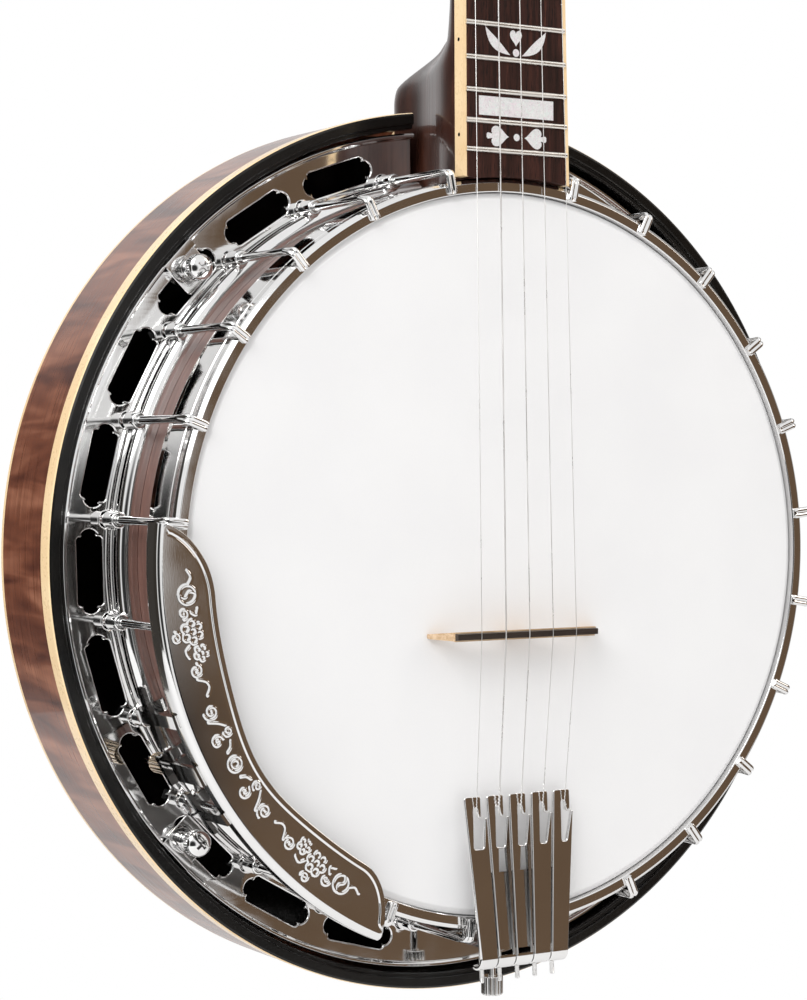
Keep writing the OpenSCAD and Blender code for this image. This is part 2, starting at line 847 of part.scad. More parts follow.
module strings() {
    color("gainsboro") {
        for (k = string_index) {
            rod(bridge_point(k), nut_point(k), string_d[k]);
            bend(nut_point(k), string_d[k]);
        }
        for (k = [1 : 4]) {
            rod(nut_point(k), post_point(k), string_d[k]);
            on_peghead() translate([peg_places[k - 1][0], peg_places[k - 1][1], waist_h])
                winding(waist_r + 0.35, string_d[k]);
        }
        rod(nut_point(0), edge_point(), string_d[0]);
        bend(edge_point(), string_d[0]);
        rod(edge_point(), fifth_peg_point(), string_d[0]);
        on_neck() fifth_peg_frame() translate([0, 0, spool_mid]) winding(spool_waist + 0.35, string_d[0]);
    }
}

// ---- Tailpiece ----

finger_count = 5;
tail_height_front = 5.5;
tail_height_rear = 9.5;
finger_t = 1.6;
tail_slope = atan((tail_height_rear - tail_height_front) / (tail_rear - tail_front));
tail_length = (tail_rear - tail_front) / cos(tail_slope);
roll_r = 4.6;

// Frame of the fingers' top face: X right, Y from the rear bend towards the front, Z out
module on_tail() {
    translate([0, -tail_rear, tail_height_rear]) rotate([-tail_slope, 0, 0]) children();
}

function tail_point(x, t, h) = [x,
    -tail_rear + t * cos(tail_slope) + h * sin(tail_slope),
    tail_height_rear - t * sin(tail_slope) + h * cos(tail_slope)];

finger_gap = 0.5;
// Each finger's front is this much narrower on the right, beside its hook
hook_step_in = 2.2;
slot_low = 42.3;
slot_high = 58;
slot_left = 3.9;
slot_narrow = 1.5;
// Height of the hook's tip, which points back towards the rear
tongue_tip = 54;
prong_w_tip = 0.9;
prong_w_root = 2.6;

function finger_edge(side, t) = (side / finger_count - 0.5)
    * (tail_w_rear + (tail_w_front - tail_w_rear) * t / tail_length);
function finger_left(k, t) = finger_edge(k, t) + finger_gap / 2;
function finger_right(k, t) = finger_edge(k + 1, t) - finger_gap / 2;
function slot_x(k) = finger_left(k, slot_high) + slot_left;
function hook_x(k) = slot_x(k) + slot_narrow / 2;

module finger(k) {
    front_right = finger_right(k, tail_length) - hook_step_in;
    translate([0, 0, -finger_t]) linear_extrude(finger_t)
        polygon([[finger_left(k, 0), 0], [finger_right(k, 0), 0],
            [finger_right(k, tongue_tip), tongue_tip],
            [finger_right(k, tongue_tip) - prong_w_tip, tongue_tip],
            [finger_right(k, slot_low) - prong_w_root, slot_low],
            [slot_x(k) - 0.3, slot_low], [slot_x(k), slot_high],
            [slot_x(k) + slot_narrow, slot_high],
            [slot_x(k) + slot_narrow, tongue_tip + 2.6], [slot_x(k) + slot_narrow + 0.8, tongue_tip],
            [front_right, tongue_tip + 0.4], [front_right, tail_length],
            [finger_left(k, tail_length), tail_length]]);
    translate([finger_left(k, 0), 0, -roll_r]) rotate([90, 0, 90])
        rear_bend(finger_right(0, 0) - finger_left(0, 0));
}

// Quarter-round bend that turns a finger's rear end downwards
module rear_bend(width) {
    linear_extrude(width) intersection() {
        difference() {
            circle(roll_r, $fn = 48);
            circle(roll_r - finger_t, $fn = 48);
        }
        translate([-20, 0]) square([20, 20]);
    }
}

module tailpiece_fingers() {
    color("silver") on_tail() for (k = [0 : finger_count - 1]) {
        finger(k);
    }
}

bracket_t = 2;
bracket_y = -150.6;

module tailpiece_bracket() {
    low = -46;
    under = -finger_t - 0.1;
    color("silver") {
        difference() {
            translate([-15, bracket_y - bracket_t, low]) cube([30, bracket_t, 52.5]);
            finger_screw_rods(finger_screw_d + 0.1);
            translate([0, bracket_y - 10, rod_heights[0]]) rotate([-90, 0, 0])
                cylinder(h = 20, d = rod_d + 0.2, $fn = 32);
            translate([bolt_x, bracket_y - 10, bolt_z]) rotate([-90, 0, 0])
                cylinder(h = 20, d = bolt_d + 0.2, $fn = 32);
        }
        on_tail() translate([-tail_w_rear / 2 + 1, 2.6, under - 1.4]) cube([tail_w_rear - 2, 30, 1.4]);
    }
}

screw_len = 22;
finger_screw_d = 1.9;

module finger_screw_rods(d) {
    on_tail() for (k = [0 : finger_count - 1]) {
        x = (finger_edge(k, 0) + finger_edge(k + 1, 0)) / 2;
        translate([x, -10, -6.4]) rotate([-90, 0, 0]) cylinder(h = screw_len, d = d, $fn = 24);
    }
}

module finger_screws() {
    color("silver") finger_screw_rods(finger_screw_d);
}

bolt_x = 2.7;
bolt_z = -18.5;
bolt_d = 3;

module tailpiece_bolt() {
    color("silver") {
        translate([bolt_x, -175, bolt_z]) rotate([-90, 0, 0])
            cylinder(h = 175 + bracket_y + 1.6, d = bolt_d, $fn = 32);
        translate([0, -156, rod_heights[0]]) rotate([-90, 0, 0]) cylinder(h = 21.8, d = rod_d - 1, $fn = 32);
        translate([0, -156.6, rod_heights[0]]) rotate([-90, 0, 0]) cylinder(h = 3.9, d = 9.4, $fn = 6);
    }
}

tail_nut_d = 8.7;
tail_nut_l = 7.4;

module tailpiece_nut() {
    color("silver") translate([bolt_x, -176, bolt_z]) rotate([-90, 0, 0]) difference() {
        linear_extrude(tail_nut_l) difference() {
            circle(d = tail_nut_d, $fn = 48);
            for (k = [0 : 15]) {
                rotate(360 * k / 16) translate([tail_nut_d / 2 + 0.2, 0]) circle(0.6, $fn = 16);
            }
        }
        translate([0, 0, -1]) cylinder(h = 12, d = bolt_d + 0.12, $fn = 32);
    }
}

module string_tails() {
    color("gainsboro") for (k = string_index) {
        rod(bridge_point(k), tail_point(hook_x(k), tail_length - 8, 0.45), string_d[k]);
    }
}

// ---- Armrest ----

rest_start = 84.4;
rest_end = 155.4;
rest_outer = 157.5;
rest_width = 23.4;
// The armrest is this much narrower in its middle
rest_waist = 3.6;
rest_top = 9.6;
rest_t = 1.5;
rest_steps = 36;

function rest_span(t) = (rest_width - rest_waist * exp(-pow((t - 0.55) / 0.16, 2)))
    * sqrt(1 - pow(1 - min(1, t / 0.15), 2)) * sqrt(1 - pow(1 - min(1, (1 - t) / 0.11), 2));

module rest_outline(grow) {
    inner = [for (k = [0 : rest_steps]) let (t = k / rest_steps,
        a = rest_start + (rest_end - rest_start) * t, r = rest_outer - rest_span(t) - grow)
        [-r * sin(a), r * cos(a)]];
    outer = [for (k = [rest_steps : -1 : 0]) let (a = rest_start + (rest_end - rest_start) * k / rest_steps,
        r = rest_outer + 6) [-r * sin(a), r * cos(a)]];
    polygon(concat(inner, outer));
}

roll_down = 2.6;

module armrest_plate() {
    skirt = 8;
    arc = [for (k = [0 : 8]) let (a = 90 - 90 * k / 8)
        [rest_outer - roll_down + roll_down * cos(a), rest_top - roll_down + roll_down * sin(a)]];
    arc_in = [for (k = [8 : -1 : 0]) let (a = 90 - 90 * k / 8, r = roll_down - rest_t)
        [rest_outer - roll_down + r * cos(a), rest_top - roll_down + r * sin(a)]];
    color("silver") intersection() {
        turned(concat([[rest_outer - rest_width - 1, rest_top]], arc,
            [[rest_outer, rest_top - skirt], [rest_outer - rest_t, rest_top - skirt]], arc_in,
            [[rest_outer - rest_width - 1, rest_top - rest_t]]));
        linear_extrude(40, center = true) rest_outline(0);
    }
}

clamp_angle = -119;
clamp_r = 156.2;
// Angle and length of the strips that lie along the hoop
strips = [[-111, 24], [-126, 19]];

module armrest_brackets() {
    bar_t = 1.6;
    bar_in = rest_outer + 0.05;
    arm_in = 147.2;
    color("silver") {
        for (strip = strips) {
            around(strip[0], 0) {
                translate([-2.5, bar_in, -26]) cube([5, bar_t, 32]);
                translate([-2.5, arm_in, -26]) cube([5, bar_in - arm_in + 1, bar_t]);
                translate([-strip[1] / 2, bar_in, -17]) cube([strip[1], bar_t, 4.4]);
            }
        }
        around(clamp_angle, 0) difference() {
            union() {
                translate([-4, bar_in, -14]) cube([8, bar_t, 20]);
                translate([-4, 152.6, -14]) cube([8, bar_in - 151.6, 3]);
            }
            translate([0, clamp_r, -20]) cylinder(h = 20, d = 3, $fn = 32);
        }
        around(clamp_angle, clamp_r) translate([0, 0, -42]) cylinder(h = 31, d = 3, $fn = 32);
    }
}

module armrest_foot() {
    color("silver") around(clamp_angle, 0) difference() {
        translate([-6, 143.95, -22.2]) cube([12, 16.4, 2.8]);
        translate([0, clamp_r, -30]) cylinder(h = 20, d = 3.2, $fn = 32);
    }
}

arm_nut_d = 8;
arm_nut_l = 11;

module armrest_nut() {
    color("goldenrod") around(clamp_angle, clamp_r) translate([0, 0, -22.3 - arm_nut_l])
        difference() {
            linear_extrude(arm_nut_l) difference() {
                circle(d = arm_nut_d, $fn = 48);
                for (k = [0 : 19]) {
                    rotate(18 * k) translate([arm_nut_d / 2 + 0.15, 0]) circle(0.45, $fn = 14);
                }
            }
            translate([0, 0, -1]) cylinder(h = 20, d = 3.12, $fn = 32);
        }
}

// ---- Planetary pegs ----

housing_r = 8.4;
housing_h = 17;
housing_top = -peghead_t;
post_top = overlay_t + 17;

module at_peg(k) {
    on_peghead() translate([peg_places[k][0], peg_places[k][1], 0]) children();
}

module peg_housings() {
    color("silver") for (k = [0 : 3]) {
        at_peg(k) difference() {
            union() {
                translate([0, 0, housing_top - housing_h])
                    cylinder(h = housing_h - eps, r = housing_r, $fn = 48);
                translate([0, 0, housing_top - housing_h - 3]) cylinder(h = 3.5, r = 5.2, $fn = 48);
            }
            translate([0, 0, housing_top - housing_h + 2]) cylinder(h = housing_h - 4, r = 6.9, $fn = 48);
            translate([0, 0, housing_top - 3]) cylinder(h = 4, r = post_r + 0.07, $fn = 40);
            translate([0, 0, housing_top - housing_h - 4]) cylinder(h = 8, r = 2.47, $fn = 40);
        }
    }
}

module peg_bushings() {
    color("silver") for (k = [0 : 3]) {
        at_peg(k) difference() {
            union() {
                translate([0, 0, housing_top])
                    cylinder(h = peghead_t + overlay_t, r = bushing_r - 0.03, $fn = 40);
                translate([0, 0, overlay_t]) cylinder(h = 0.8, r = 8, $fn = 48);
                translate([0, 0, overlay_t + 0.8]) cylinder(h = 3, d = 13, $fn = 6);
            }
            translate([0, 0, -30]) cylinder(h = 60, r = post_r + 0.07, $fn = 40);
        }
    }
}

module peg_post(k) {
    hole_at = waist_h + 3;
    color("silver") at_peg(k) difference() {
        rotate_extrude($fn = 48) polygon([[0, housing_top - 7], [6.4, housing_top - 7],
            [6.4, housing_top - 3.5], [post_r, housing_top - 3.5], [post_r, waist_h - 3.5],
            [waist_r, waist_h - 2], [waist_r, waist_h + 2], [post_r - 0.2, waist_h + 3.5],
            [post_r - 0.2, post_top - 0.8], [post_r - 1, post_top], [0, post_top]]);
        translate([0, 0, hole_at + 1.2]) rotate([0, 90, 0])
            cylinder(h = 20, d = 1.2, center = true, $fn = 20);
    }
}

button_gap = 4.4;

module button_shape() {
    intersection() {
        linear_extrude(15) offset_square(18, 11);
        translate([0, 0, 7.5]) rotate([90, 0, 0]) linear_extrude(30, center = true) offset_square(18, 15);
    }
}

module offset_square(wide, tall) {
    corner = 3.6;
    hull() {
        for (x = [-1, 1]) {
            for (y = [-1, 1]) {
                translate([x * (wide / 2 - corner), y * (tall / 2 - corner)]) circle(corner, $fn = 32);
            }
        }
    }
}

module peg_button(k) {
    shaft_low = housing_top - housing_h - button_gap;
    color("ivory") at_peg(k) {
        translate([0, 0, shaft_low - 2]) cylinder(h = housing_h + button_gap - 7, r = 2.4, $fn = 32);
        translate([0, 0, housing_top - housing_h + 2.4]) cylinder(h = 5, r = 3.4, $fn = 32);
        translate([0, 0, shaft_low - 15]) rotate([0, 0, 0]) button_shape();
    }
}

// ---- Fifth-string peg, set in the side of the neck ----

fifth_peg_s = fifth_s + 8;
spool_low = 1.6;
spool_high = 8.6;
spool_mid = (spool_low + spool_high) / 2;
spool_waist = 1.9;
cage_r = 5.6;
peg_barrel_h = 11;

module fifth_peg_frame() {
    translate([-left_half(fifth_peg_s), fifth_peg_s, -board_t - 5.5]) rotate([0, -90, 0]) children();
}

function fifth_peg_point() = neck_point(-left_half(fifth_peg_s) - spool_mid,
    fifth_peg_s - 0.5, -board_t - 5.5 + spool_waist + 0.35 + string_d[0] / 2);

module fifth_peg_body() {
    color("silver") on_neck() fifth_peg_frame() difference() {
        union() {
            translate([0, 0, -14]) cylinder(h = 14, r = 3.47, $fn = 32);
            cylinder(h = 1.4, r = cage_r, $fn = 40);
            linear_extrude(spool_high + 1) intersection() {
                difference() {
                    circle(cage_r, $fn = 40);
                    circle(cage_r - 1.3, $fn = 40);
                }
                translate([-20, -10]) square([20 - 2.4, 20]);
            }
            translate([0, 0, spool_high + 0.2]) cylinder(h = peg_barrel_h, r = 6.8, $fn = 48);
        }
        translate([0, 0, -9]) cylinder(h = 12, r = 1.57, $fn = 32);
        translate([0, 0, spool_high - 1]) cylinder(h = 4, r = 2.57, $fn = 32);
        translate([0, 0, spool_high + 2]) cylinder(h = peg_barrel_h - 3.6, r = 5.6, $fn = 40);
        translate([0, 0, spool_high]) cylinder(h = 20, r = 2.07, $fn = 32);
    }
}

module fifth_peg_spool() {
    color("silver") on_neck() fifth_peg_frame() rotate_extrude($fn = 40) polygon([[0, -8],
        [1.5, -8], [1.5, spool_low], [3, spool_low], [3, spool_low + 1], [spool_waist, spool_low + 1.8],
        [spool_waist, spool_high - 1.8], [3, spool_high - 1], [3, spool_high - 0.2],
        [2.5, spool_high - 0.2], [2.5, spool_high + 2.4], [5.2, spool_high + 2.4],
        [5.2, spool_high + 4.4], [0, spool_high + 4.4]]);
}

module fifth_peg_button() {
    outer = spool_high + 0.2 + peg_barrel_h;
    color("ivory") on_neck() fifth_peg_frame() {
        translate([0, 0, spool_high + 5]) cylinder(h = outer + 4 - spool_high - 5, r = 2, $fn = 32);
        translate([0, 0, spool_high + 5]) cylinder(h = 2.4, r = 3.2, $fn = 32);
        translate([0, 0, outer + 2.5]) button_shape();
    }
}

// ---- Drawing ----

place() wood_rim();
place() tone_ring();
place() drum_head();
place() tension_hoop();
place() flange();
place() bracket_hooks();
place() bracket_nuts();
place() resonator_side();
place() resonator_back();
place() resonator_front_binding();
place() resonator_back_binding();
place() resonator_lip();
place() resonator_lugs();
place() resonator_screw(0);  // resonator_screw_1
place() resonator_screw(1);  // resonator_screw_2
place() resonator_screw(2);  // resonator_screw_3
place() resonator_screw(3);  // resonator_screw_4
place() screw_washers();
place() neck();
place() heel_cap();
place() fingerboard();
place() fingerboard_binding();
place() fingerboard_inlays();
place() frets();
place() side_dots();
place() string_nut();
place() fifth_string_nut();
place() headstock_overlay();
place() truss_rod();
place() truss_rod_cover();
place() cover_screws();
place() coordinator_rods();
place() rod_nuts();
place() bridge_body();
place() bridge_cap();
place() strings();
place() string_tails();
place() tailpiece_bracket();
place() tailpiece_fingers();
place() finger_screws();
place() tailpiece_bolt();
place() tailpiece_nut();
place() armrest_plate();
place() armrest_brackets();
place() armrest_foot();
place() armrest_nut();
place() peg_housings();
place() peg_bushings();
place() peg_post(0);  // peg_post_1
place() peg_post(1);  // peg_post_2
place() peg_post(2);  // peg_post_3
place() peg_post(3);  // peg_post_4
place() peg_button(0);  // peg_button_1
place() peg_button(1);  // peg_button_2
place() peg_button(2);  // peg_button_3
place() peg_button(3);  // peg_button_4
place() fifth_peg_body();
place() fifth_peg_spool();
place() fifth_peg_button();
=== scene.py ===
"""Looks of a five-string resonator banjo: finer pieces and procedural finishes on the CAD frame.

Shapes are drawn in the bench frame of the CAD source, in millimetres: X right, Y towards the pegs,
Z out of the drum head. to_row() turns them into the row frame in metres, where the head faces -Y.
"""
import json
import math

import bmesh
import bpy
import numpy as np
from mathutils import Matrix, Vector
from mathutils.geometry import tessellate_polygon


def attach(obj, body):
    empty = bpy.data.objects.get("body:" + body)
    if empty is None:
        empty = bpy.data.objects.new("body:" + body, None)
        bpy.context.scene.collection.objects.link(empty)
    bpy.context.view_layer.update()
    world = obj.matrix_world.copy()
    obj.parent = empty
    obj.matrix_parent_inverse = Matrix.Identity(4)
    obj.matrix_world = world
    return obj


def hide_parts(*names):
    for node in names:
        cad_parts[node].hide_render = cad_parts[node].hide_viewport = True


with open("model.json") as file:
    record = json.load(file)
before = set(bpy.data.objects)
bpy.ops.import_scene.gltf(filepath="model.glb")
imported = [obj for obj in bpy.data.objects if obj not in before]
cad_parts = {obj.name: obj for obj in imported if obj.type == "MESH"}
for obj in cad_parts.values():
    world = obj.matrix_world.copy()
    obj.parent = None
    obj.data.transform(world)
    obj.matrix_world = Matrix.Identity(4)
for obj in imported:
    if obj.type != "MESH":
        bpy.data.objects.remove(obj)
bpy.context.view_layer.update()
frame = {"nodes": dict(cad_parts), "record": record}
nodes = frame["nodes"]
record = frame["record"]

MM = 0.001
HANG_Y = 640.0
HANG_Z = -12.0

# Driving sizes, as in the CAD source. R is a radius, and heights below 0 are behind the head's face.
HOOP_R = 146.3
HOOP_LIP = 1.3
HOOP_DEPTH = 19.0
RIM_R = 141.6
STEP_DEPTH = 39.6
HOOK_CIRCLE = 150.5
HOOK_ANGLES = [side * (11.3 + 14.6 * k) for side in (-1, 1) for k in range(12)]
GAP_ANGLES = [side * (11.3 + 14.6 * (k + 0.5)) for side in (-1, 1) for k in range(11)]
SCREW_ANGLES = [side * a for side in (-1, 1) for a in (46.4, 132.7)]
SCREW_CIRCLE = 159.9
PLATE_FRONT = -48.5
PLATE_T = 1.8
PLATE_R = 169.3
TUBE_R = 4.3
TUBE_CIRCLE = 145.2
RESO_R = 176.7
RESO_FRONT = 40.7
RESO_SEAM = 86.0
RESO_INNER = RESO_R - 5.1
LIP_R = 170.5
BINDING_LOW = -RESO_FRONT - 0.5 - 7.6
NOTCH_HALF = 19.5
NOTCH_LOW = -79.5


# ---- Shapes ----


class Shape:
    """Points in the bench frame and faces between them, with one finish number for each face."""

    def __init__(self, points, faces, marks=None):
        self.points = np.asarray(points, float).reshape(-1, 3)
        self.faces = [tuple(int(i) for i in face) for face in faces]
        self.marks = list(marks) if marks is not None else [0] * len(self.faces)

    def __add__(self, other):
        return together([self, other])

    def moved(self, change):
        return Shape(change(self.points), self.faces, self.marks)


def together(shapes):
    """One shape of many."""
    points, faces, marks = [], [], []
    shift = 0
    for shape in shapes:
        points.append(shape.points)
        faces += [tuple(i + shift for i in face) for face in shape.faces]
        marks += shape.marks
        shift += len(shape.points)
    return Shape(np.vstack(points), faces, marks)


def to_row(points):
    p = np.asarray(points, float).reshape(-1, 3)
    return np.column_stack([p[:, 0], HANG_Z - p[:, 2], p[:, 1] - HANG_Y]) * MM


def around(angle, radius):
    """Stands a shape at a radius and an angle from the neck, positive to the right."""
    a = math.radians(angle)

    def change(points):
        x, y, z = points.T
        y = y + radius
        across = x * math.cos(a) + y * math.sin(a)
        return np.column_stack([across, y * math.cos(a) - x * math.sin(a), z])

    return change


def shifted(x=0.0, y=0.0, z=0.0):
    return lambda points: points + np.array([x, y, z])


def smooth(t):
    t = np.clip(t, 0.0, 1.0)
    return t * t * (3 - 2 * t)


def rounded(corners, steps=5):
    """A closed outline of (x, y, radius) corners, each rounded by its own radius."""
    outline = []
    count = len(corners)
    for i, (x, y, radius) in enumerate(corners):
        here = np.array((x, y), float)
        if radius <= 0:
            outline.append(here)
            continue
        before = np.array(corners[i - 1][:2], float) - here
        after = np.array(corners[(i + 1) % count][:2], float) - here
        before_len = np.linalg.norm(before)
        after_len = np.linalg.norm(after)
        before /= before_len
        after /= after_len
        half = math.acos(np.clip(before @ after, -1, 1)) / 2
        if half > math.radians(88.5):
            outline.append(here)
            continue
        reach = min(radius / math.tan(half), 0.48 * before_len, 0.48 * after_len)
        size = reach * math.tan(half)
        middle = before + after
        centre = here + middle / np.linalg.norm(middle) * size / math.sin(half)
        first = here + before * reach - centre
        last = here + after * reach - centre
        start = math.atan2(first[1], first[0])
        turn = math.atan2(last[1], last[0]) - start
        turn = (turn + math.pi) % (2 * math.pi) - math.pi
        for k in range(steps + 1):
            a = start + turn * k / steps
            outline.append(centre + size * np.array((math.cos(a), math.sin(a))))
    return outline


def arc(x, y, radius, start, stop, steps):
    """Points of an arc in the plane, with the angles in degrees."""
    angles = np.radians(np.linspace(start, stop, steps + 1))
    return [(x + radius * math.cos(a), y + radius * math.sin(a)) for a in angles]


def lathe(outline, steps=360, span=None, ridge=None, marks=None):
    """A closed outline of (radius, height) turned round Z, all the way or between two angles.

    ridge(angles, radius, height) gives how far the surface stands out at each angle, as a knurl does.
    """
    profile = np.array(outline, float)
    count = len(profile)
    whole = span is None
    start, stop = (0.0, 360.0) if whole else span
    angles = np.radians(start + (stop - start) * np.arange(steps + (0 if whole else 1)) / steps)
    points = []
    for radius, height in profile:
        r = radius + (ridge(angles, radius, height) if ridge else 0.0 * angles)
        heights = np.full(len(angles), height)
        points.append(np.column_stack([r * np.sin(angles), r * np.cos(angles), heights]))
    points = np.stack(points, axis=1).reshape(-1, 3)
    faces, face_marks = [], []
    rings = len(angles)
    for i in range(rings if whole else rings - 1):
        j = (i + 1) % rings
        for k in range(count):
            m = (k + 1) % count
            if profile[k][0] < 1e-6 and profile[m][0] < 1e-6:
                continue
            faces.append((i * count + k, i * count + m, j * count + m, j * count + k))
            face_marks.append(marks(profile[k], profile[m]) if marks else 0)
    if not whole:
        faces += [tuple(range(count)), tuple(range((rings - 1) * count, rings * count))]
        face_marks += [0, 0]
    return Shape(points, faces, face_marks)


def area_of(loop):
    x, y = np.array(loop, float).T
    return 0.5 * float(np.sum(x * np.roll(y, -1) - np.roll(x, -1) * y))


def inward(loop):
    """Unit steps from each point of a loop into the material on its left."""
    p = np.array(loop, float)
    ahead = np.roll(p, -1, axis=0) - p
    ahead /= np.maximum(np.linalg.norm(ahead, axis=1, keepdims=True), 1e-9)
    mean = ahead + np.roll(ahead, 1, axis=0)
    size = np.maximum(np.linalg.norm(mean, axis=1, keepdims=True), 1e-9)
    mean /= size
    stretch = np.minimum(2.0 / size, 1.6)
    return np.column_stack([-mean[:, 1], mean[:, 0]]) * stretch


def plate(loops, low, high, edge=0.4, steps=4):
    """A flat plate with rounded edges. The first loop is its outline and the others are its holes."""
    loops = [list(map(tuple, loop)) for loop in loops]
    loops = [loop if (area_of(loop) > 0) == (i == 0) else loop[::-1] for i, loop in enumerate(loops)]
    levels = []
    for k in range(steps + 1):
        a = math.pi / 2 * k / steps
        levels.append((edge * (1 - math.sin(a)), low + edge * (1 - math.cos(a))))
    levels += [(inset, low + high - z) for inset, z in reversed(levels)]
    points, faces, bottoms, tops = [], [], [], []
    for loop in loops:
        flat = np.array(loop, float)
        ways = inward(loop)
        first = sum(len(p) for p in points)
        count = len(loop)
        for inset, z in levels:
            ring = flat + ways * inset
            points.append(np.column_stack([ring, np.full(count, z)]))
        for row in range(len(levels) - 1):
            for i in range(count):
                j = (i + 1) % count
                a, b = first + row * count, first + (row + 1) * count
                faces.append((a + i, a + j, b + j, b + i))
        bottoms.append(range(first, first + count))
        tops.append(range(first + (len(levels) - 1) * count, first + len(levels) * count))
    points = np.vstack(points)
    for ends, reverse in ((bottoms, True), (tops, False)):
        numbers = [i for end in ends for i in end]
        outlines = [[Vector((*points[i][:2], 0)) for i in end] for end in ends]
        for triangle in tessellate_polygon(outlines):
            face = tuple(numbers[i] for i in triangle)
            faces.append(face[::-1] if reverse else face)
    return Shape(points, faces)


def loft(rings):
    """A closed skin over rings of points, with a face at each end."""
    count = len(rings[0])
    faces = []
    for m in range(len(rings) - 1):
        for k in range(count):
            a, b = m * count + k, m * count + (k + 1) % count
            faces.append((a, b, b + count, a + count))
    faces += [tuple(range(count)), tuple(range((len(rings) - 1) * count, len(rings) * count))]
    return Shape(np.vstack(rings), faces)


def sweep(path, sections, side=None):
    """Carries outlines along a path. sections is one outline or one for each point, in (side, up)."""
    path = np.array(path, float)
    ahead = np.gradient(path, axis=0)
    ahead /= np.linalg.norm(ahead, axis=1, keepdims=True)
    if len(sections) != len(path):
        sections = [sections] * len(path)
    if side is None:
        reference = np.array((0.0, 0.0, 1.0)) if abs(ahead[0][2]) < 0.8 else np.array((1.0, 0.0, 0.0))
        current = np.cross(reference, ahead[0])
    rings = []
    for here, way, section in zip(path, ahead, sections):
        section = np.array(section, float)
        if side is None:
            current = current - way * (current @ way)
            current /= np.linalg.norm(current)
            right = current
        else:
            right = np.array(side, float)
        up = np.cross(way, right)
        rings.append(here + section[:, :1] * right + section[:, 1:] * up)
    return loft(rings)


def circle(radius, sides):
    angles = np.linspace(0, 2 * math.pi, sides, endpoint=False)
    return [(radius * math.cos(a), radius * math.sin(a)) for a in angles]


def tube(path, radius, sides):
    return sweep(path, circle(radius, sides))


def placed(name, data):
    """A new object in the scene."""
    obj = bpy.data.objects.new(name, data)
    bpy.context.scene.collection.objects.link(obj)
    return obj


def new_mesh(name, shape):
    mesh = bpy.data.meshes.new(name)
    mesh.from_pydata(to_row(shape.points).tolist(), [], shape.faces)
    mesh.polygons.foreach_set("material_index", shape.marks)
    work = bmesh.new()
    work.from_mesh(mesh)
    bmesh.ops.remove_doubles(work, verts=work.verts, dist=2e-7)
    bmesh.ops.dissolve_degenerate(work, edges=work.edges, dist=1e-8)
    bmesh.ops.recalc_face_normals(work, faces=work.faces)
    work.to_mesh(mesh)
    work.free()
    return mesh


def piece(name, shape, body, slot, replaced, finishes=None, sharp=35, weighted=True):
    """Makes an object of a shape with the given finishes, or the slot's finish, ties it to its body and hides
    the node that it replaces.
    """
    name = name.replace(" ", "_")
    mesh = new_mesh(name, shape)
    obj = placed(name, mesh)
    for finish in finishes or [FINISHES[slot]]:
        mesh.materials.append(finish)
    mesh.polygons.foreach_set("use_smooth", [True] * len(mesh.polygons))
    mesh.set_sharp_from_angle(angle=math.radians(sharp))
    if weighted:
        modifier = obj.modifiers.new("Weighted normals", "WEIGHTED_NORMAL")
        modifier.keep_sharp = True
        modifier.weight = 100
    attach(obj, body)
    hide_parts(replaced)


def without(shape, cutter):
    """A shape with another cut out of it, both closed."""
    kept = placed("kept", new_mesh("kept", shape))
    tool = placed("cutter", new_mesh("cutter", cutter))
    modifier = kept.modifiers.new("Cut", "BOOLEAN")
    modifier.operation = "DIFFERENCE"
    modifier.solver = "EXACT"
    modifier.object = tool
    result = kept.evaluated_get(bpy.context.evaluated_depsgraph_get()).to_mesh()
    row = np.array([v.co for v in result.vertices]) / MM
    bench = np.column_stack([row[:, 0], row[:, 2] + HANG_Y, HANG_Z - row[:, 1]])
    faces = [tuple(p.vertices) for p in result.polygons]
    marks = [p.material_index for p in result.polygons]
    for obj in (kept, tool):
        mesh = obj.data
        bpy.data.objects.remove(obj)
        bpy.data.meshes.remove(mesh)
    return Shape(bench, faces, marks)


def block(low, high):
    x_ends, y_ends, z_ends = zip(low, high)
    corners = [(x, y, z) for x in x_ends for y in y_ends for z in z_ends]
    faces = [(0, 1, 3, 2), (4, 6, 7, 5), (0, 4, 5, 1), (2, 3, 7, 6), (0, 2, 6, 4), (1, 5, 7, 3)]
    return Shape(corners, faces)


# ---- Finishes ----


class Nodes:
    """Short ways to add nodes to a tree."""

    def __init__(self, tree):
        self.tree = tree

    def add(self, kind, inputs, **settings):
        """Adds a node with its settings, and links or sets its inputs, each by name or number."""
        node = self.tree.nodes.new("ShaderNode" + kind)
        for key, value in settings.items():
            setattr(node, key, value)
        for key, value in inputs.items():
            socket = node.inputs[key]
            if isinstance(value, bpy.types.NodeSocket):
                self.tree.links.new(value, socket)
            elif socket.type == "RGBA":
                socket.default_value = (*value, 1.0)
            else:
                socket.default_value = value
        return node

    def mixed(self, fac, first, second, blend="MIX"):
        settings = {"data_type": "RGBA", "blend_type": blend}
        return self.add("Mix", {0: fac, 6: first, 7: second}, **settings).outputs[2]


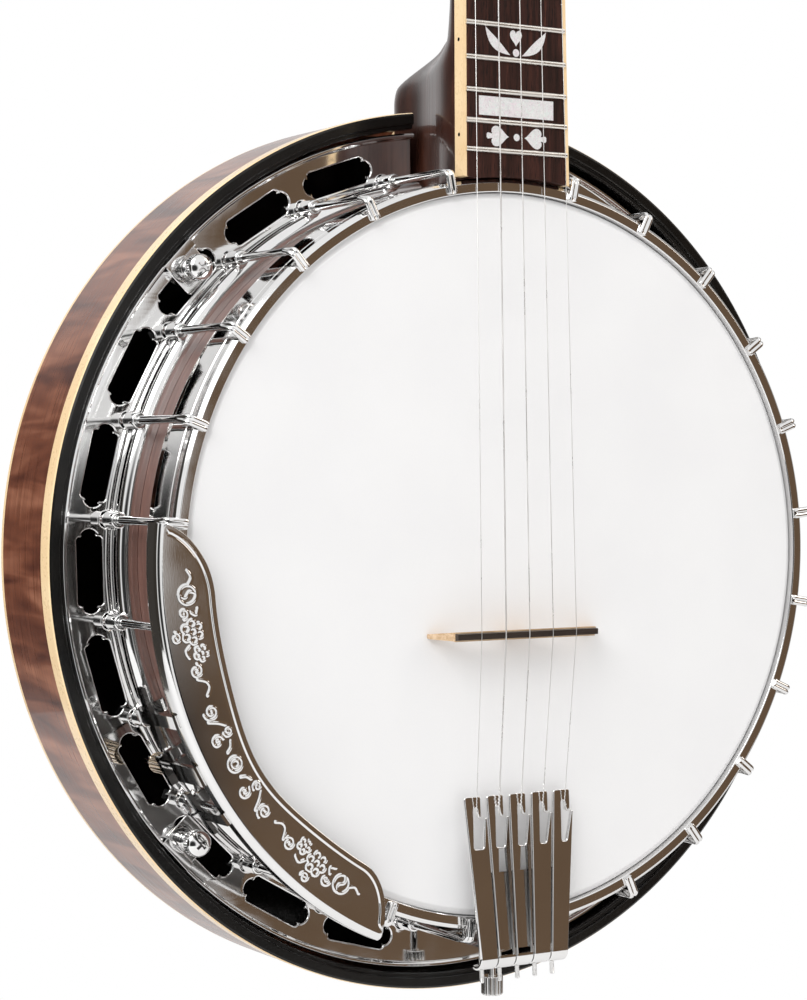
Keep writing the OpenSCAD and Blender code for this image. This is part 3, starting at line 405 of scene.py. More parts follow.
class Finish(Nodes):
    """A Principled material whose textures use object space, in metres."""

    def __init__(self, name, colour, roughness, metallic=0.0, **values):
        self.name = name
        self.material = bpy.data.materials.new(name)
        self.material.use_nodes = True
        super().__init__(self.material.node_tree)
        self.shader = self.tree.nodes["Principled BSDF"]
        self.shader.inputs["Base Color"].default_value = (*colour, 1.0)
        self.shader.inputs["Roughness"].default_value = roughness
        self.shader.inputs["Metallic"].default_value = metallic
        for key, value in values.items():
            socket = key.replace("_", " ").title().replace("Ior", "IOR")
            self.shader.inputs[socket].default_value = value
        self.space = self.add("TexCoord", {}).outputs["Object"]

    def stretched(self, scale, vector=None):
        return self.add("Mapping", {"Vector": vector or self.space, "Scale": scale}).outputs["Vector"]

    def noise(self, vector, scale, detail=3.0, distortion=0.0):
        inputs = {"Vector": vector, "Scale": scale, "Detail": detail, "Distortion": distortion}
        return self.add("TexNoise", inputs).outputs["Fac"]

    def math(self, operation, first, second):
        return self.add("Math", {0: first, 1: second}, operation=operation).outputs[0]

    def spread(self, fac, low, high):
        """Turns a noise, which mostly lies from 0.3 to 0.7, into values from low to high."""
        inputs = {"Value": fac, "From Min": 0.3, "From Max": 0.7, "To Min": low, "To Max": high}
        return self.add("MapRange", inputs).outputs["Result"]

    def ramp(self, fac, stops):
        node = self.tree.nodes.new("ShaderNodeValToRGB")
        points = node.color_ramp.elements
        while len(points) < len(stops):
            points.new(0.5)
        for point, (place, colour) in zip(points, stops):
            point.position = place
            point.color = (*colour, 1.0)
        self.tree.links.new(fac, node.inputs["Fac"])
        return node.outputs["Color"]

    def joined(self, x, y, z):
        return self.add("CombineXYZ", {0: x, 1: y, 2: z}).outputs[0]

    def colour(self, output):
        self.tree.links.new(output, self.shader.inputs["Base Color"])

    def roughness(self, output):
        self.tree.links.new(output, self.shader.inputs["Roughness"])

    def bump(self, height, distance, strength):
        inputs = {"Height": height, "Distance": distance, "Strength": strength}
        normal = self.add("Bump", inputs).outputs["Normal"]
        self.tree.links.new(normal, self.shader.inputs["Normal"])

    def round_the_pot(self):
        """Texture space that follows the pot: arc length, depth and zero, in metres."""
        x, y, z = self.add("SeparateXYZ", {"Vector": self.space}).outputs
        up = self.math("ADD", z, HANG_Y * MM)
        angle = self.math("ARCTAN2", x, up)
        return self.joined(self.math("MULTIPLY", angle, RESO_R * MM), y, 0.0)


def polished(name, colour, roughness=0.05, scratch=0.05):
    """Plated or bare metal: faint haze, polishing lines and a few specks."""
    finish = Finish(name, colour, roughness, metallic=1.0)
    haze = finish.noise(finish.space, 60.0, 4.0)
    finish.roughness(finish.spread(haze, roughness * 0.6, roughness * 1.9))
    lines = finish.noise(finish.stretched((3000.0, 500.0, 500.0)), 1.0, 2.0)
    ripple = finish.noise(finish.space, 45.0, 1.0)
    finish.bump(finish.math("ADD", finish.math("MULTIPLY", lines, scratch), ripple), 0.00006, 0.5)
    tone = finish.noise(finish.space, 35.0, 3.0)
    dark = tuple(c * 0.94 for c in colour)
    finish.colour(finish.ramp(tone, [(0.35, dark), (0.65, colour)]))
    return finish


def head_film():
    """Frosted white coating, sprayed on, with a fine grain."""
    finish = Finish("head_film", (0.83, 0.82, 0.825), 0.5, coat_weight=0.1, coat_roughness=0.35)
    grain = finish.noise(finish.space, 2600.0, 3.0)
    cloud = finish.noise(finish.space, 28.0, 4.0)
    both = finish.math("ADD", finish.math("MULTIPLY", grain, 0.5), finish.math("MULTIPLY", cloud, 0.5))
    finish.colour(finish.ramp(both, [(0.38, (0.82, 0.815, 0.82)), (0.62, (0.84, 0.835, 0.835))]))
    finish.roughness(finish.spread(cloud, 0.42, 0.6))
    finish.bump(grain, 0.00005, 0.5)
    return finish


def figured_wood(name, dark, middle, light, along, across, coat=0.5, round_pot=False):
    """Stained and lacquered maple. along and across are how fast the figure changes, per metre."""
    finish = Finish(name, middle, 0.36, coat_weight=coat, coat_roughness=0.04, specular_ior_level=0.35)
    space = finish.round_the_pot() if round_pot else finish.space
    figure = finish.noise(finish.stretched(along, space), 1.0, 2.0, 0.6)
    grain = finish.noise(finish.stretched(across, space), 1.0, 5.0, 0.3)
    tone = finish.ramp(figure, [(0.32, dark), (0.5, middle), (0.7, light)])
    veins = finish.ramp(grain, [(0.35, (0.55, 0.5, 0.47)), (0.6, (1.0, 1.0, 1.0))])
    finish.colour(finish.mixed(0.7, tone, veins, "MULTIPLY"))
    finish.roughness(finish.spread(grain, 0.25, 0.4))
    ripple = finish.noise(space, 30.0, 1.0)
    finish.bump(finish.math("ADD", ripple, finish.math("MULTIPLY", grain, 0.06)), 0.00012, 0.4)
    return finish


def rosewood():
    finish = Finish("rosewood", (0.03, 0.012, 0.008), 0.5, specular_ior_level=0.2)
    streaks = finish.noise(finish.stretched((420.0, 420.0, 14.0)), 1.0, 4.0, 0.8)
    pores = finish.noise(finish.stretched((2600.0, 2600.0, 160.0)), 1.0, 2.0)
    stops = [(0.3, (0.016, 0.005, 0.003)), (0.55, (0.038, 0.011, 0.007)), (0.78, (0.085, 0.026, 0.015))]
    tone = finish.ramp(streaks, stops)
    holes = finish.ramp(pores, [(0.34, (0.15, 0.12, 0.11)), (0.46, (1.0, 1.0, 1.0))])
    finish.colour(finish.mixed(0.85, tone, holes, "MULTIPLY"))
    finish.roughness(finish.spread(streaks, 0.42, 0.6))
    finish.bump(pores, 0.00012, 0.6)
    return finish


def pearl(name, scale, low, high, coat=0.5):
    """Shell or pearloid: broken flakes of slightly different whites."""
    finish = Finish(name, high, 0.2, coat_weight=coat, coat_roughness=0.04)
    bent = finish.noise(finish.space, scale * 0.6, 3.0, 1.5)
    place = finish.mixed(0.25, finish.space, finish.joined(bent, bent, bent), "ADD")
    flakes = finish.add("TexVoronoi", {"Vector": place, "Scale": scale}).outputs["Color"]
    sheen = finish.ramp(flakes, [(0.0, low), (0.4, (0.8, 0.66, 0.74)), (0.7, (0.6, 0.78, 0.7)), (1.0, high)])
    waves = finish.noise(finish.space, scale * 2.5, 3.0, 2.0)
    finish.colour(finish.mixed(finish.spread(waves, 0.0, 0.6), sheen, high))
    finish.roughness(finish.spread(bent, 0.12, 0.34))
    return finish


def moulded(name, low, high, roughness, scale, coat):
    """Plastic, bone or lacquer: two close tones, uneven gloss and a fine surface grain."""
    finish = Finish(name, high, roughness, coat_weight=coat, coat_roughness=0.05, specular_ior_level=0.35)
    cloud = finish.noise(finish.space, scale, 4.0, 0.4)
    grain = finish.noise(finish.space, scale * 14, 2.0)
    finish.colour(finish.ramp(cloud, [(0.3, low), (0.7, high)]))
    finish.roughness(finish.spread(grain, roughness * 0.8, roughness * 1.25))
    finish.bump(grain, 0.00004, 0.4)
    return finish


def plain_wood(name, dark, light, stretch, roughness, coat=0.0):
    """Wood with straight grain: wide growth bands and fine fibres."""
    finish = Finish(name, light, roughness, coat_weight=coat, coat_roughness=0.15)
    bands = finish.noise(finish.stretched(stretch), 1.0, 3.0, 0.7)
    fibres = finish.noise(finish.stretched(tuple(6 * v for v in stretch)), 1.0, 3.0)
    tone = finish.ramp(bands, [(0.3, dark), (0.7, light)])
    shade = finish.ramp(fibres, [(0.35, (0.72, 0.68, 0.64)), (0.6, (1.0, 1.0, 1.0))])
    finish.colour(finish.mixed(0.7, tone, shade, "MULTIPLY"))
    finish.roughness(finish.spread(fibres, roughness * 0.85, roughness * 1.2))
    finish.bump(fibres, 0.00008, 0.5)
    return finish


# Colours are linear. Woods take a stretch of their figure and grain along each axis, per metre.
CHROME = (0.86, 0.855, 0.85)
STAIN = ((0.075, 0.016, 0.007), (0.18, 0.055, 0.026), (0.34, 0.135, 0.075))
DARK_STAIN = ((0.028, 0.009, 0.006), (0.05, 0.016, 0.01), (0.085, 0.028, 0.016))
ALONG_BRIDGE = (60.0, 900.0, 900.0)
FINISHES = {finish.name: finish.material for finish in (
    polished("chrome_plate", CHROME),
    polished("tone_ring_plate", (0.84, 0.82, 0.8), 0.06),
    polished("armrest_brass", (0.8, 0.66, 0.5), 0.1, 0.15),
    polished("fret_wire", (0.88, 0.85, 0.8), 0.24, 0.2),
    polished("rod_steel", (0.6, 0.6, 0.6), 0.22, 0.3),
    polished("string_steel", (0.9, 0.89, 0.88), 0.3, 0.2),
    # Rougher metal for the armrest's underside; its dark grey colour is painted shade for the shadow under
    # the armrest.
    polished("unpolished_painted_shade_plate", (0.3, 0.29, 0.28), 0.3, 0.3),
    head_film(),
    figured_wood("side_wood", *STAIN, (95.0, 16.0, 1.0), (30.0, 900.0, 1.0), round_pot=True),
    figured_wood("back_wood", *STAIN, (14.0, 1.0, 80.0), (900.0, 1.0, 26.0)),
    figured_wood("neck_wood", *DARK_STAIN, (40.0, 60.0, 28.0), (700.0, 700.0, 18.0)),
    plain_wood("rim_maple", (0.14, 0.065, 0.05), (0.24, 0.12, 0.095), (60.0, 500.0, 60.0), 0.35, 0.3),
    plain_wood("bridge_maple", (0.55, 0.36, 0.2), (0.8, 0.6, 0.4), ALONG_BRIDGE, 0.5),
    plain_wood("ebony", (0.012, 0.008, 0.006), (0.035, 0.022, 0.016), ALONG_BRIDGE, 0.35, 0.2),
    plain_wood("overlay_ebony", (0.006, 0.005, 0.005), (0.014, 0.011, 0.01), (700.0, 700.0, 40.0), 0.18, 0.9),
    rosewood(),
    pearl("pearl", 420.0, (0.3, 0.21, 0.23), (0.88, 0.84, 0.82)),
    pearl("pearloid", 240.0, (0.6, 0.58, 0.52), (0.88, 0.86, 0.8), 0.8),
    moulded("cream_binding", (0.85, 0.6, 0.33), (0.94, 0.72, 0.44), 0.3, 40.0, 0.6),
    moulded("black_lacquer", (0.003, 0.003, 0.003), (0.008, 0.007, 0.006), 0.2, 60.0, 0.05),
    moulded("bone", (0.72, 0.66, 0.52), (0.84, 0.8, 0.68), 0.35, 120.0, 0.2),
)}
for part in record["subparts"]:
    mesh = nodes[part["node"]].data
    mesh.materials.clear()
    mesh.materials.append(FINISHES[part["material_slot"]])


# ---- Frames of the neck, the headstock and the tailpiece ----

BOARD_LOW_Y = 146.0
BOARD_RISE = 4.2
BOARD_T = 6.0
NECK_TILT = math.radians(0.6)
NUT_S = 490.3
SCALE_LENGTH = 667.0
FIFTH_S = NUT_S - SCALE_LENGTH * (1 - 2 ** (-5 / 12))
PEGHEAD_S = NUT_S + 5.0
PEGHEAD_ANGLE = math.radians(12.0)
PEGHEAD_T = 14.0
TAIL_REAR = 155.0
TAIL_HIGH = 9.5
TAIL_SLOPE = math.atan2(4.0, 62.5)
TAIL_LENGTH = 62.5 / math.cos(TAIL_SLOPE)


def tilted(points, angle, y, z):
    """Tilts about X, so that Y drops away from the front, and then moves."""
    x, s, h = np.asarray(points, float).reshape(-1, 3).T
    ahead = s * math.cos(angle) + h * math.sin(angle)
    return np.column_stack([x, y + ahead, z - s * math.sin(angle) + h * math.cos(angle)])


def on_neck(points):
    return tilted(points, NECK_TILT, BOARD_LOW_Y, BOARD_RISE)


def on_peghead(points):
    return on_neck(tilted(points, PEGHEAD_ANGLE, PEGHEAD_S, -BOARD_T))


def on_tail(points):
    return tilted(points, TAIL_SLOPE, -TAIL_REAR, TAIL_HIGH)


def at(frame_of, x, y, z):
    return frame_of([[x, y, z]])[0]


def right_half(s):
    return 24.6 - 8.7 * s / NUT_S


def left_half(s):
    wide = 24.6 - 1.2 * s / FIFTH_S
    return wide + (right_half(s) - wide) * float(smooth((s - FIFTH_S - 12) / 18))


# ---- Pot ----

POT = "pot_and_neck"

head_outline = rounded([(0, -0.35, 0), (138.2, -0.35, 0.9), (140.35, -1.8, 0.8), (140.5, -13, 0),
        (143.6, -13, 0), (143.6, -9, 0), (140.95, -9, 0), (140.9, -1.6, 1.2),
        (138.4, 0, 1.4), (0, 0, 0)])
piece("Drum head", lathe(head_outline), POT, "head_film", "drum_head")

hoop_outline = rounded([(141.05, -8.7, 0), (143.9, -8.7, 0), (143.9, -HOOP_DEPTH, 0.3),
        (HOOP_R - 0.6, -HOOP_DEPTH, 0.4), (HOOP_R, 1 - HOOP_DEPTH, 0.5),
        (HOOP_R, -5.9, 0.25), (HOOP_R - 0.5, -5.4, 0.25), (HOOP_R, -4.9, 0.25),
        (HOOP_R, -1, 0.8), (HOOP_R - 0.3, 0.1, 0.6), (HOOP_R - 1.6, HOOP_LIP, 0.5),
        (141.4, HOOP_LIP, 0.2), (141.05, 1.0, 0.2)], 4)
piece("Tension hoop", lathe(hoop_outline), POT, "chrome_plate", "tension_hoop")

ring_outline = rounded([(138, -0.45, 0.3), (140.2, -1.8, 0.6), (140.4, -14, 0.8), (143, -15.5, 1),
        (143, -28.8, 0.5), (RIM_R, -28.8, 0), (RIM_R, -17.5, 0), (124.5, -17.5, 0.5),
        (124.5, -12.5, 1), (131, -9.5, 2), (136.2, -1.4, 0.6)])
piece("Tone ring", lathe(ring_outline), POT, "tone_ring_plate", "tone_ring")


def sector(radius, half_gap, steps, back=False):
    """Points round the pot at one radius, which leave a straight gap for the heel."""
    gap = math.asin(half_gap / radius)
    angles = np.linspace(gap, 2 * math.pi - gap, steps)
    if back:
        angles = angles[::-1]
    return [(radius * math.sin(a), radius * math.cos(a)) for a in angles]


def opening():
    """An opening of the flange: a bar with round ends and round corners, which meet in cusps."""
    half = arc(11.6, 3.8, 1.3, 90, -4.7, 6)
    half += arc(12, 0, 3.8, 76.4, -76.4, 14)
    half += arc(11.6, -3.8, 1.3, 4.7, -90, 6)
    return half + [(-x, -y) for x, y in half]


def flange():
    half_gap = 16.0
    inner_r = 137.65
    loops = [sector(PLATE_R - 0.7, half_gap, 540) + sector(inner_r, half_gap, 300, back=True)]
    for angle in GAP_ANGLES:
        local = np.array([(x, y, 0) for x, y in opening()])
        loops.append([tuple(p[:2]) for p in around(angle, 157.0)(local)])
    parts = [plate(loops, PLATE_FRONT - PLATE_T, PLATE_FRONT, 0.75, 5)]
    bead_gap = math.degrees(math.asin(half_gap / PLATE_R))
    bead = rounded([(166.6, -48.9, 0), (166.9, -47.2, 0.8), (167.7, -46.4, 0.5), (168.7, -46.4, 0.5),
            (169.3, -47, 0.5), (169.3, -50.1, 0.3), (168.6, -50.3, 0.3), (167.2, -50.2, 0)])
    parts.append(lathe(bead, 540, (bead_gap, 360 - bead_gap)))
    tube_gap = math.degrees(math.asin(half_gap / TUBE_CIRCLE))
    ring = [(TUBE_CIRCLE + x, y - STEP_DEPTH - 0.1 - TUBE_R) for x, y in circle(TUBE_R, 40)]
    parts.append(lathe(ring, 540, (tube_gap, 360 - tube_gap)))
    web = [(inner_r, -48.6), (147.2, -48.6), (145.7, -40), (inner_r, -39.7)]
    parts.append(lathe(web, span=(tube_gap, 360 - tube_gap)))
    boss = rounded([(1.7, -48.7, 0), (4.0, -48.7, 0), (3.9, -47.9, 0.3), (3.2, -46.6, 1.0),
            (3.1, -44.6, 1.2), (3.1, -38.4, 0.9), (1.7, -38.4, 0.3)])
    boss_shape = lathe(boss, 32)
    parts += [boss_shape.moved(around(a, HOOK_CIRCLE)) for a in HOOK_ANGLES]
    return together(parts)


piece("Flange", flange(), POT, "chrome_plate", "flange")


def hook():
    """One bracket hook: a round rod that turns over the hoop and flattens into a grooved claw."""
    rod_r = 1.5
    bend_r = 2.0
    path = [(0, 0, z) for z in (-61, -60.4, -26.4, -25.8, -6, -4, -3)]
    top = 2.15
    path += [(0, -bend_r + bend_r * math.cos(a), top - bend_r + bend_r * math.sin(a))
            for a in np.radians(np.linspace(0, 90, 9))]
    path += [(0, -y, top) for y in (2.6, 3.4, 4.4, 5.4, 6.4, 7.2)]
    path += [(0, -7.9, top - 0.05), (0, -8.3, top - 0.15), (0, -8.55, top - 0.3)]
    sections = []
    angles = np.linspace(0, 2 * math.pi, 32, endpoint=False)
    steps = np.linalg.norm(np.diff(np.array(path), axis=0), axis=1)
    lengths = np.concatenate([[0], np.cumsum(steps)])
    bend_start, total = lengths[6], lengths[-1]
    for i, here in enumerate(lengths):
        flat = float(smooth((here - bend_start + 1.5) / 5.0))
        end = 0.72 if i == 0 or i == len(path) - 1 else 1.0
        sleeve = 0.16 if i < 3 else 0.0
        wide = (rod_r + sleeve + 0.5 * flat) * end
        thick = (rod_r + sleeve - 0.6 * flat) * end
        power = 1 - 0.08 * flat
        x = wide * np.sign(np.cos(angles)) * np.abs(np.cos(angles)) ** power
        y = thick * np.sign(np.sin(angles)) * np.abs(np.sin(angles)) ** power
        y *= 1 - 0.75 * flat * np.exp(-(x / 0.5) ** 2) * (here < total - 0.5)
        sections.append(np.column_stack([x, y]))
    return sweep(path, sections, side=(1, 0, 0))


hook_shape = hook()
piece("Bracket hooks", together([hook_shape.moved(around(a, HOOK_CIRCLE)) for a in HOOK_ANGLES]),
      POT, "chrome_plate", "bracket_hooks", sharp=50)

# ---- Resonator ----

RESO = "resonator"
notch = block((-NOTCH_HALF, 150, NOTCH_LOW), (NOTCH_HALF, 190, -16))


# The inner wall takes black lacquer: partly its real black paint and partly painted shade for the dark inside
# of the resonator.
def inside(first, second):
    return 1 if first[0] < RESO_INNER + 0.1 and second[0] < RESO_INNER + 0.1 else 0


side_outline = [(RESO_INNER, BINDING_LOW), (RESO_R, BINDING_LOW), (RESO_R, -RESO_SEAM),
        (RESO_INNER, -RESO_SEAM)]
piece("Resonator side", without(lathe(side_outline, marks=inside), notch), RESO, "side_wood",
      "resonator_side", [FINISHES["side_wood"], FINISHES["black_lacquer"]])

lip_outline = rounded([(LIP_R, BINDING_LOW, 0), (LIP_R, -42.4, 0.3), (LIP_R + 0.5, -41.9, 0.3),
        (LIP_R + 1.5, -41.9, 0.15), (LIP_R + 1.7, -41.1, 0.2),
        (LIP_R + 2.1, -RESO_FRONT, 0.35), (RESO_R - 1, -RESO_FRONT, 0.2),
        (RESO_R - 0.2, -41.2, 0), (RESO_R - 1.5, -41.2, 0), (RESO_R - 1.5, BINDING_LOW, 0)])
piece("Resonator lip", without(lathe(lip_outline), notch), RESO, "black_lacquer", "resonator_lip")

binding_outline = rounded([(RESO_R - 1.5, -41.2, 0), (RESO_R - 0.2, -41.2, 0.1), (RESO_R + 0.2, -41.8, 0.4),
        (RESO_R + 0.2, BINDING_LOW + 0.2, 0.15), (RESO_R, BINDING_LOW, 0.1),
        (RESO_R - 1.5, BINDING_LOW, 0)])
piece("Resonator front binding", without(lathe(binding_outline), notch), RESO, "cream_binding",
      "resonator_front_binding")


BACK_R = RESO_R - 2.0
BACK_LOW = -88.6


def resonator_back():
    """The back: flat in its middle, then arched towards the edge, with a black inside, partly its real black
    paint and partly painted shade.
    """
    flat_r = 45
    inner_r = 168.6
    thick = 4.4

    def arch(r):
        return BACK_LOW - 8.2 * (1 - max(0.0, (r - flat_r) / (BACK_R - flat_r)) ** 2)

    outer = [(r, arch(r)) for r in np.linspace(0, BACK_R, 50)]
    inner = [(r, arch(r) + thick) for r in np.linspace(inner_r, 0, 50)]
    outline = outer + [(BACK_R, -RESO_SEAM), (inner_r, -RESO_SEAM)] + inner

    # The inner face takes black lacquer too: partly real black paint and partly painted shade.
    def inner_face(first, second):
        within = max(first[0], second[0]) < inner_r + 0.1
        return 1 if within and first[1] > arch(first[0]) + 2 else 0

    return lathe(outline, marks=inner_face)


piece("Resonator back", resonator_back(), RESO, "side_wood", "resonator_back",
      [FINISHES["back_wood"], FINISHES["black_lacquer"]])

back_binding = rounded([(BACK_R, -RESO_SEAM, 0), (RESO_R, -RESO_SEAM, 0.15), (RESO_R, -88.2, 0.8),
        (RESO_R - 0.8, BACK_LOW, 0.6), (BACK_R, BACK_LOW, 0)])
piece("Resonator back binding", lathe(back_binding), RESO, "cream_binding",
      "resonator_back_binding")


def washer():
    """A flat seat for a thumb screw, whose outer edge turns up and over the flange's bead."""
    half = 7.5
    outline = rounded([(-half, -7.3, 1.6), (half, -7.3, 1.6), (half, 5.7, 0.3), (-half, 5.7, 0.3)])
    seat = plate([outline, circle(1.97, 32)], PLATE_FRONT, PLATE_FRONT + 1.4, 0.35)
    clip = rounded([(4.5, 0.1, 0), (5.7, 0.1, 0), (5.7, 2.4, 0.3), (8.9, 2.4, 0.2), (8.9, 3.4, 0.4),
            (4.5, 3.4, 1.1)])
    return seat + sweep([(-half, 0, PLATE_FRONT), (half, 0, PLATE_FRONT)], clip, side=(0, 1, 0))


washer_shape = washer()
piece("Screw washers", together([washer_shape.moved(around(a, SCREW_CIRCLE)) for a in SCREW_ANGLES]),
      POT, "chrome_plate", "screw_washers")


def thumb_screw():
    """A resonator screw: a shaft, a grooved neck and a knurled head with a domed, crossed top."""
    seat = PLATE_FRONT + 1.45
    low, high = seat + 5.5, seat + 9.9
    head_r = 5.2
    rise = 2.2
    ball = (head_r ** 2 + rise ** 2) / (2 * rise)
    dome = [(ball * math.sin(a), high + rise - ball * (1 - math.cos(a)))
            for a in np.linspace(math.asin(4.7 / ball), 0, 12)]
    outline = [(0, -63), (1.4, -63), (1.9, -62.5), (1.9, seat), (3.4, seat), (3.6, seat + 0.2),
            (3.6, seat + 1.6), (3.2, seat + 1.9), (3.2, seat + 2.4), (3.6, seat + 2.7), (3.6, low),
            (4.6, low), (5.0, low + 0.3), (head_r, low + 0.7), (head_r, low + 2.7), (4.8, low + 3.0),
            (4.8, low + 3.3), (5.0, low + 3.6), (5.0, high - 0.1)] + dome

    def knurl(angles, radius, height):
        return -0.34 * np.abs(np.sin(16 * angles)) * (radius > 5.1)

    head = lathe(outline, 256, ridge=knurl)
    for wide, tall in ((2.4, 0.6), (0.6, 2.4)):
        head = without(head, block((-wide, -tall, high + rise - 1.1), (wide, tall, high + rise + 1)))
    return head


screw_shape = thumb_screw()
for number, angle in enumerate(SCREW_ANGLES, 1):
    piece(f"Resonator screw {number}", screw_shape.moved(around(angle, SCREW_CIRCLE)),
          f"resonator_screw_{number}", "chrome_plate", f"resonator_screw_{number}", sharp=40)

# ---- Neck ----

HEEL_FLAT = 12.5
HEEL_DEEP = 74.0
HEEL_PINCH = 8.6
HEEL_KNOB = 24.0


def neck_ring(s):
    """One section of the neck's wood; beyond the nut it fades into the headstock's back."""
    beyond = max(0.0, (s - NUT_S - 3) / 36.0)
    share = 1 - float(smooth((s - 38) / 50))
    depth = 18 - 3.5 * max(0.0, min(s, NUT_S)) / NUT_S
    depth += (HEEL_DEEP - HEEL_KNOB - depth) * share + HEEL_KNOB * (1 - float(smooth((s - 44) / 12)))
    drop = math.tan(PEGHEAD_ANGLE) * max(0.0, s - PEGHEAD_S)
    fade = math.sqrt(max(0.0, 1 - beyond ** 2))
    top = -BOARD_T - drop - 2.5 * min(1.0, beyond * 8)
    low = -BOARD_T - depth - drop * float(smooth(beyond * 3)) + 1.0 * min(1.0, beyond)
    ring = []
    for k in range(49):
        a = math.pi * k / 48
        c = abs(math.cos(a))
        half = (right_half if a <= math.pi / 2 else left_half)(min(s, NUT_S)) * fade
        x = HEEL_FLAT * share * c ** 0.25 + (half - HEEL_FLAT * share) * c ** (1 + HEEL_PINCH * share)
        ring.append((x if a <= math.pi / 2 else -x, s, top + (low - top) * math.sin(a)))
    return ring


def peghead_half(t):
    return 16.2 + 15.1 * float(smooth(t / 30)) - 4.5 * math.sin(math.pi * max(0.0, t - 30) / 108) ** 2


def peghead_outline():
    right = [(peghead_half(t), t) for t in [0.4] + list(np.linspace(2, 138, 60))]
    crest = [(31 * math.cos(a), 138 + 20 * (math.sin(a) ** 0.7 - 0.22 * math.sin(a) ** 8))
            for a in np.linspace(0, math.pi, 50)[1:-1]]
    return right + crest + [(-x, t) for x, t in reversed(right)]


def neck():
    stations = []
    for first, last, count in ((-9, 29, 8), (32, 90, 50), (90, FIFTH_S + 10, 16),
            (FIFTH_S + 12, FIFTH_S + 30, 14), (FIFTH_S + 40, NUT_S + 3, 8)):
        stations += list(np.linspace(first, last, count))
    stations += list(NUT_S + 3 + 35.6 * np.sin(np.linspace(0, math.pi / 2, 24)))[1:]
    shaft = loft([neck_ring(s) for s in stations]).moved(on_neck)
    pot = lathe([(0, 40), (146.6, 40), (146.6, -30), (143.1, -30), (143.1, -39.7), (137.6, -39.7),
            (137.6, -100), (0, -100)], 288)
    head = plate([peghead_outline()], -PEGHEAD_T, -0.02, 1.2).moved(on_peghead)
    return without(shaft, pot) + head


piece("Neck", neck(), POT, "neck_wood", "neck", sharp=42)

# ---- Strings ----

STRING_D = (0.3, 0.6, 0.45, 0.36, 0.3)
PEG_PLACES = ((-20.5, 38), (-18.5, 92), (18.5, 92), (20.5, 38))
WAIST_R = 2.2
WAIST_H = 10.8
SPOOL_MID = 5.1
GAP = 0.08


def bridge_point(k):
    return np.array((11.0 * (k - 2), -30.4, 12.5 + STRING_D[k] / 2 + GAP))


def winding(radius, d, first, side, turns):
    """Turns of string round a post, in the post's own frame, which start at a corner angle."""
    angles = first + side * np.linspace(0, 2 * math.pi * turns, 20 * turns)
    heights = np.linspace(0, -turns * d * 1.02, len(angles))
    return np.column_stack([radius * np.cos(angles), radius * np.sin(angles), heights])


def strings():
    parts = []
    for k in range(1, 5):
        d = STRING_D[k]
        nut = at(on_neck, 8 * (k - 2.5), NUT_S + 0.3, 1.5 + 0.7 * d + GAP)
        rest = at(on_neck, 8 * (k - 2.5), NUT_S + 2.2, 1.4 + 0.7 * d + GAP)
        px, pt = PEG_PLACES[k - 1]
        side = 1 if k <= 2 else -1
        radius = WAIST_R + 0.1 + d / 2
        coil = winding(radius, d, 0 if side > 0 else math.pi, side, 3)
        coil = on_peghead(coil + np.array((px, pt, WAIST_H + 1.4 * d)))
        parts.append(tube(np.vstack([bridge_point(k), nut, rest, coil]), d / 2, 8))
    d = STRING_D[0]
    nut = at(on_neck, -21.0, FIFTH_S + 4.6, 1.9 + 0.7 * d + GAP)
    edge = at(on_neck, -left_half(FIFTH_S) - 0.8, FIFTH_S + 5.6, 0.5)
    peg_s = FIFTH_S + 8
    angles = math.pi / 2 + np.linspace(0, 6 * math.pi, 60)
    radius = 1.9 + 0.1 + d / 2
    coil = np.column_stack([-left_half(peg_s) - SPOOL_MID + np.linspace(0.5, -0.5, 60),
            peg_s + radius * np.cos(angles), -BOARD_T - 5.5 + radius * np.sin(angles)])
    parts.append(tube(np.vstack([bridge_point(0), nut, edge, on_neck(coil)]), d / 2, 8))
    return together(parts)


piece("Strings", strings(), POT, "string_steel", "strings", weighted=False, sharp=60)

# ---- Tailpiece ----

FINGER_T = 1.6
FINGER_GAP = 0.5
SLOT_LOW = 42.3
SLOT_HIGH = 58.0
SLOT_NARROW = 1.5
TONGUE_TIP = 54.0


def finger_edge(side, t):
    return (side / 5 - 0.5) * (41 + 11 * t / TAIL_LENGTH)


def finger_left(k, t):
    return finger_edge(k, t) + FINGER_GAP / 2


def finger_right(k, t):
    return finger_edge(k + 1, t) - FINGER_GAP / 2


def slot_x(k):
    return finger_left(k, SLOT_HIGH) + 3.9


def finger(k):
    front = finger_right(k, TAIL_LENGTH) - 2.2
    slot = slot_x(k)
    tip = finger_right(k, TONGUE_TIP)
    outline = rounded([
        (finger_left(k, 0), 0, 0), (finger_right(k, 0), 0, 0), (tip, TONGUE_TIP, 0.35),
        (tip - 0.9, TONGUE_TIP, 0.35), (finger_right(k, SLOT_LOW) - 2.6, SLOT_LOW, 0.9),
        (slot - 0.3, SLOT_LOW, 0.9), (slot, SLOT_HIGH, 0.7), (slot + SLOT_NARROW, SLOT_HIGH, 0.7),
        (slot + SLOT_NARROW, TONGUE_TIP + 2.6, 1.5), (slot + SLOT_NARROW + 0.8, TONGUE_TIP, 0.4),
        (front, TONGUE_TIP + 0.4, 0.4), (front, TAIL_LENGTH, 1.1),
        (finger_left(k, TAIL_LENGTH), TAIL_LENGTH, 1.1)], 6)
    flat = plate([outline], -FINGER_T, 0, 0.5, 5)
    wide = finger_right(0, 0) - finger_left(0, 0)
    left = finger_left(k, 0)
    roll = 4.6
    section = rounded([(0, 0, 0.45), (wide, 0, 0.45), (wide, FINGER_T, 0.45), (0, FINGER_T, 0.45)], 4)
    path = [(left, 0.6, -FINGER_T)]
    path += [(left, -(roll - FINGER_T) * math.sin(a), -roll + (roll - FINGER_T) * math.cos(a))
            for a in np.linspace(0, math.pi / 2 + 0.5, 16)]
    bend = sweep(path, section, side=(1, 0, 0))
    return flat + bend


piece("Tailpiece fingers", together([finger(k) for k in range(5)]).moved(on_tail), POT, "chrome_plate",
      "tailpiece_fingers", sharp=50)


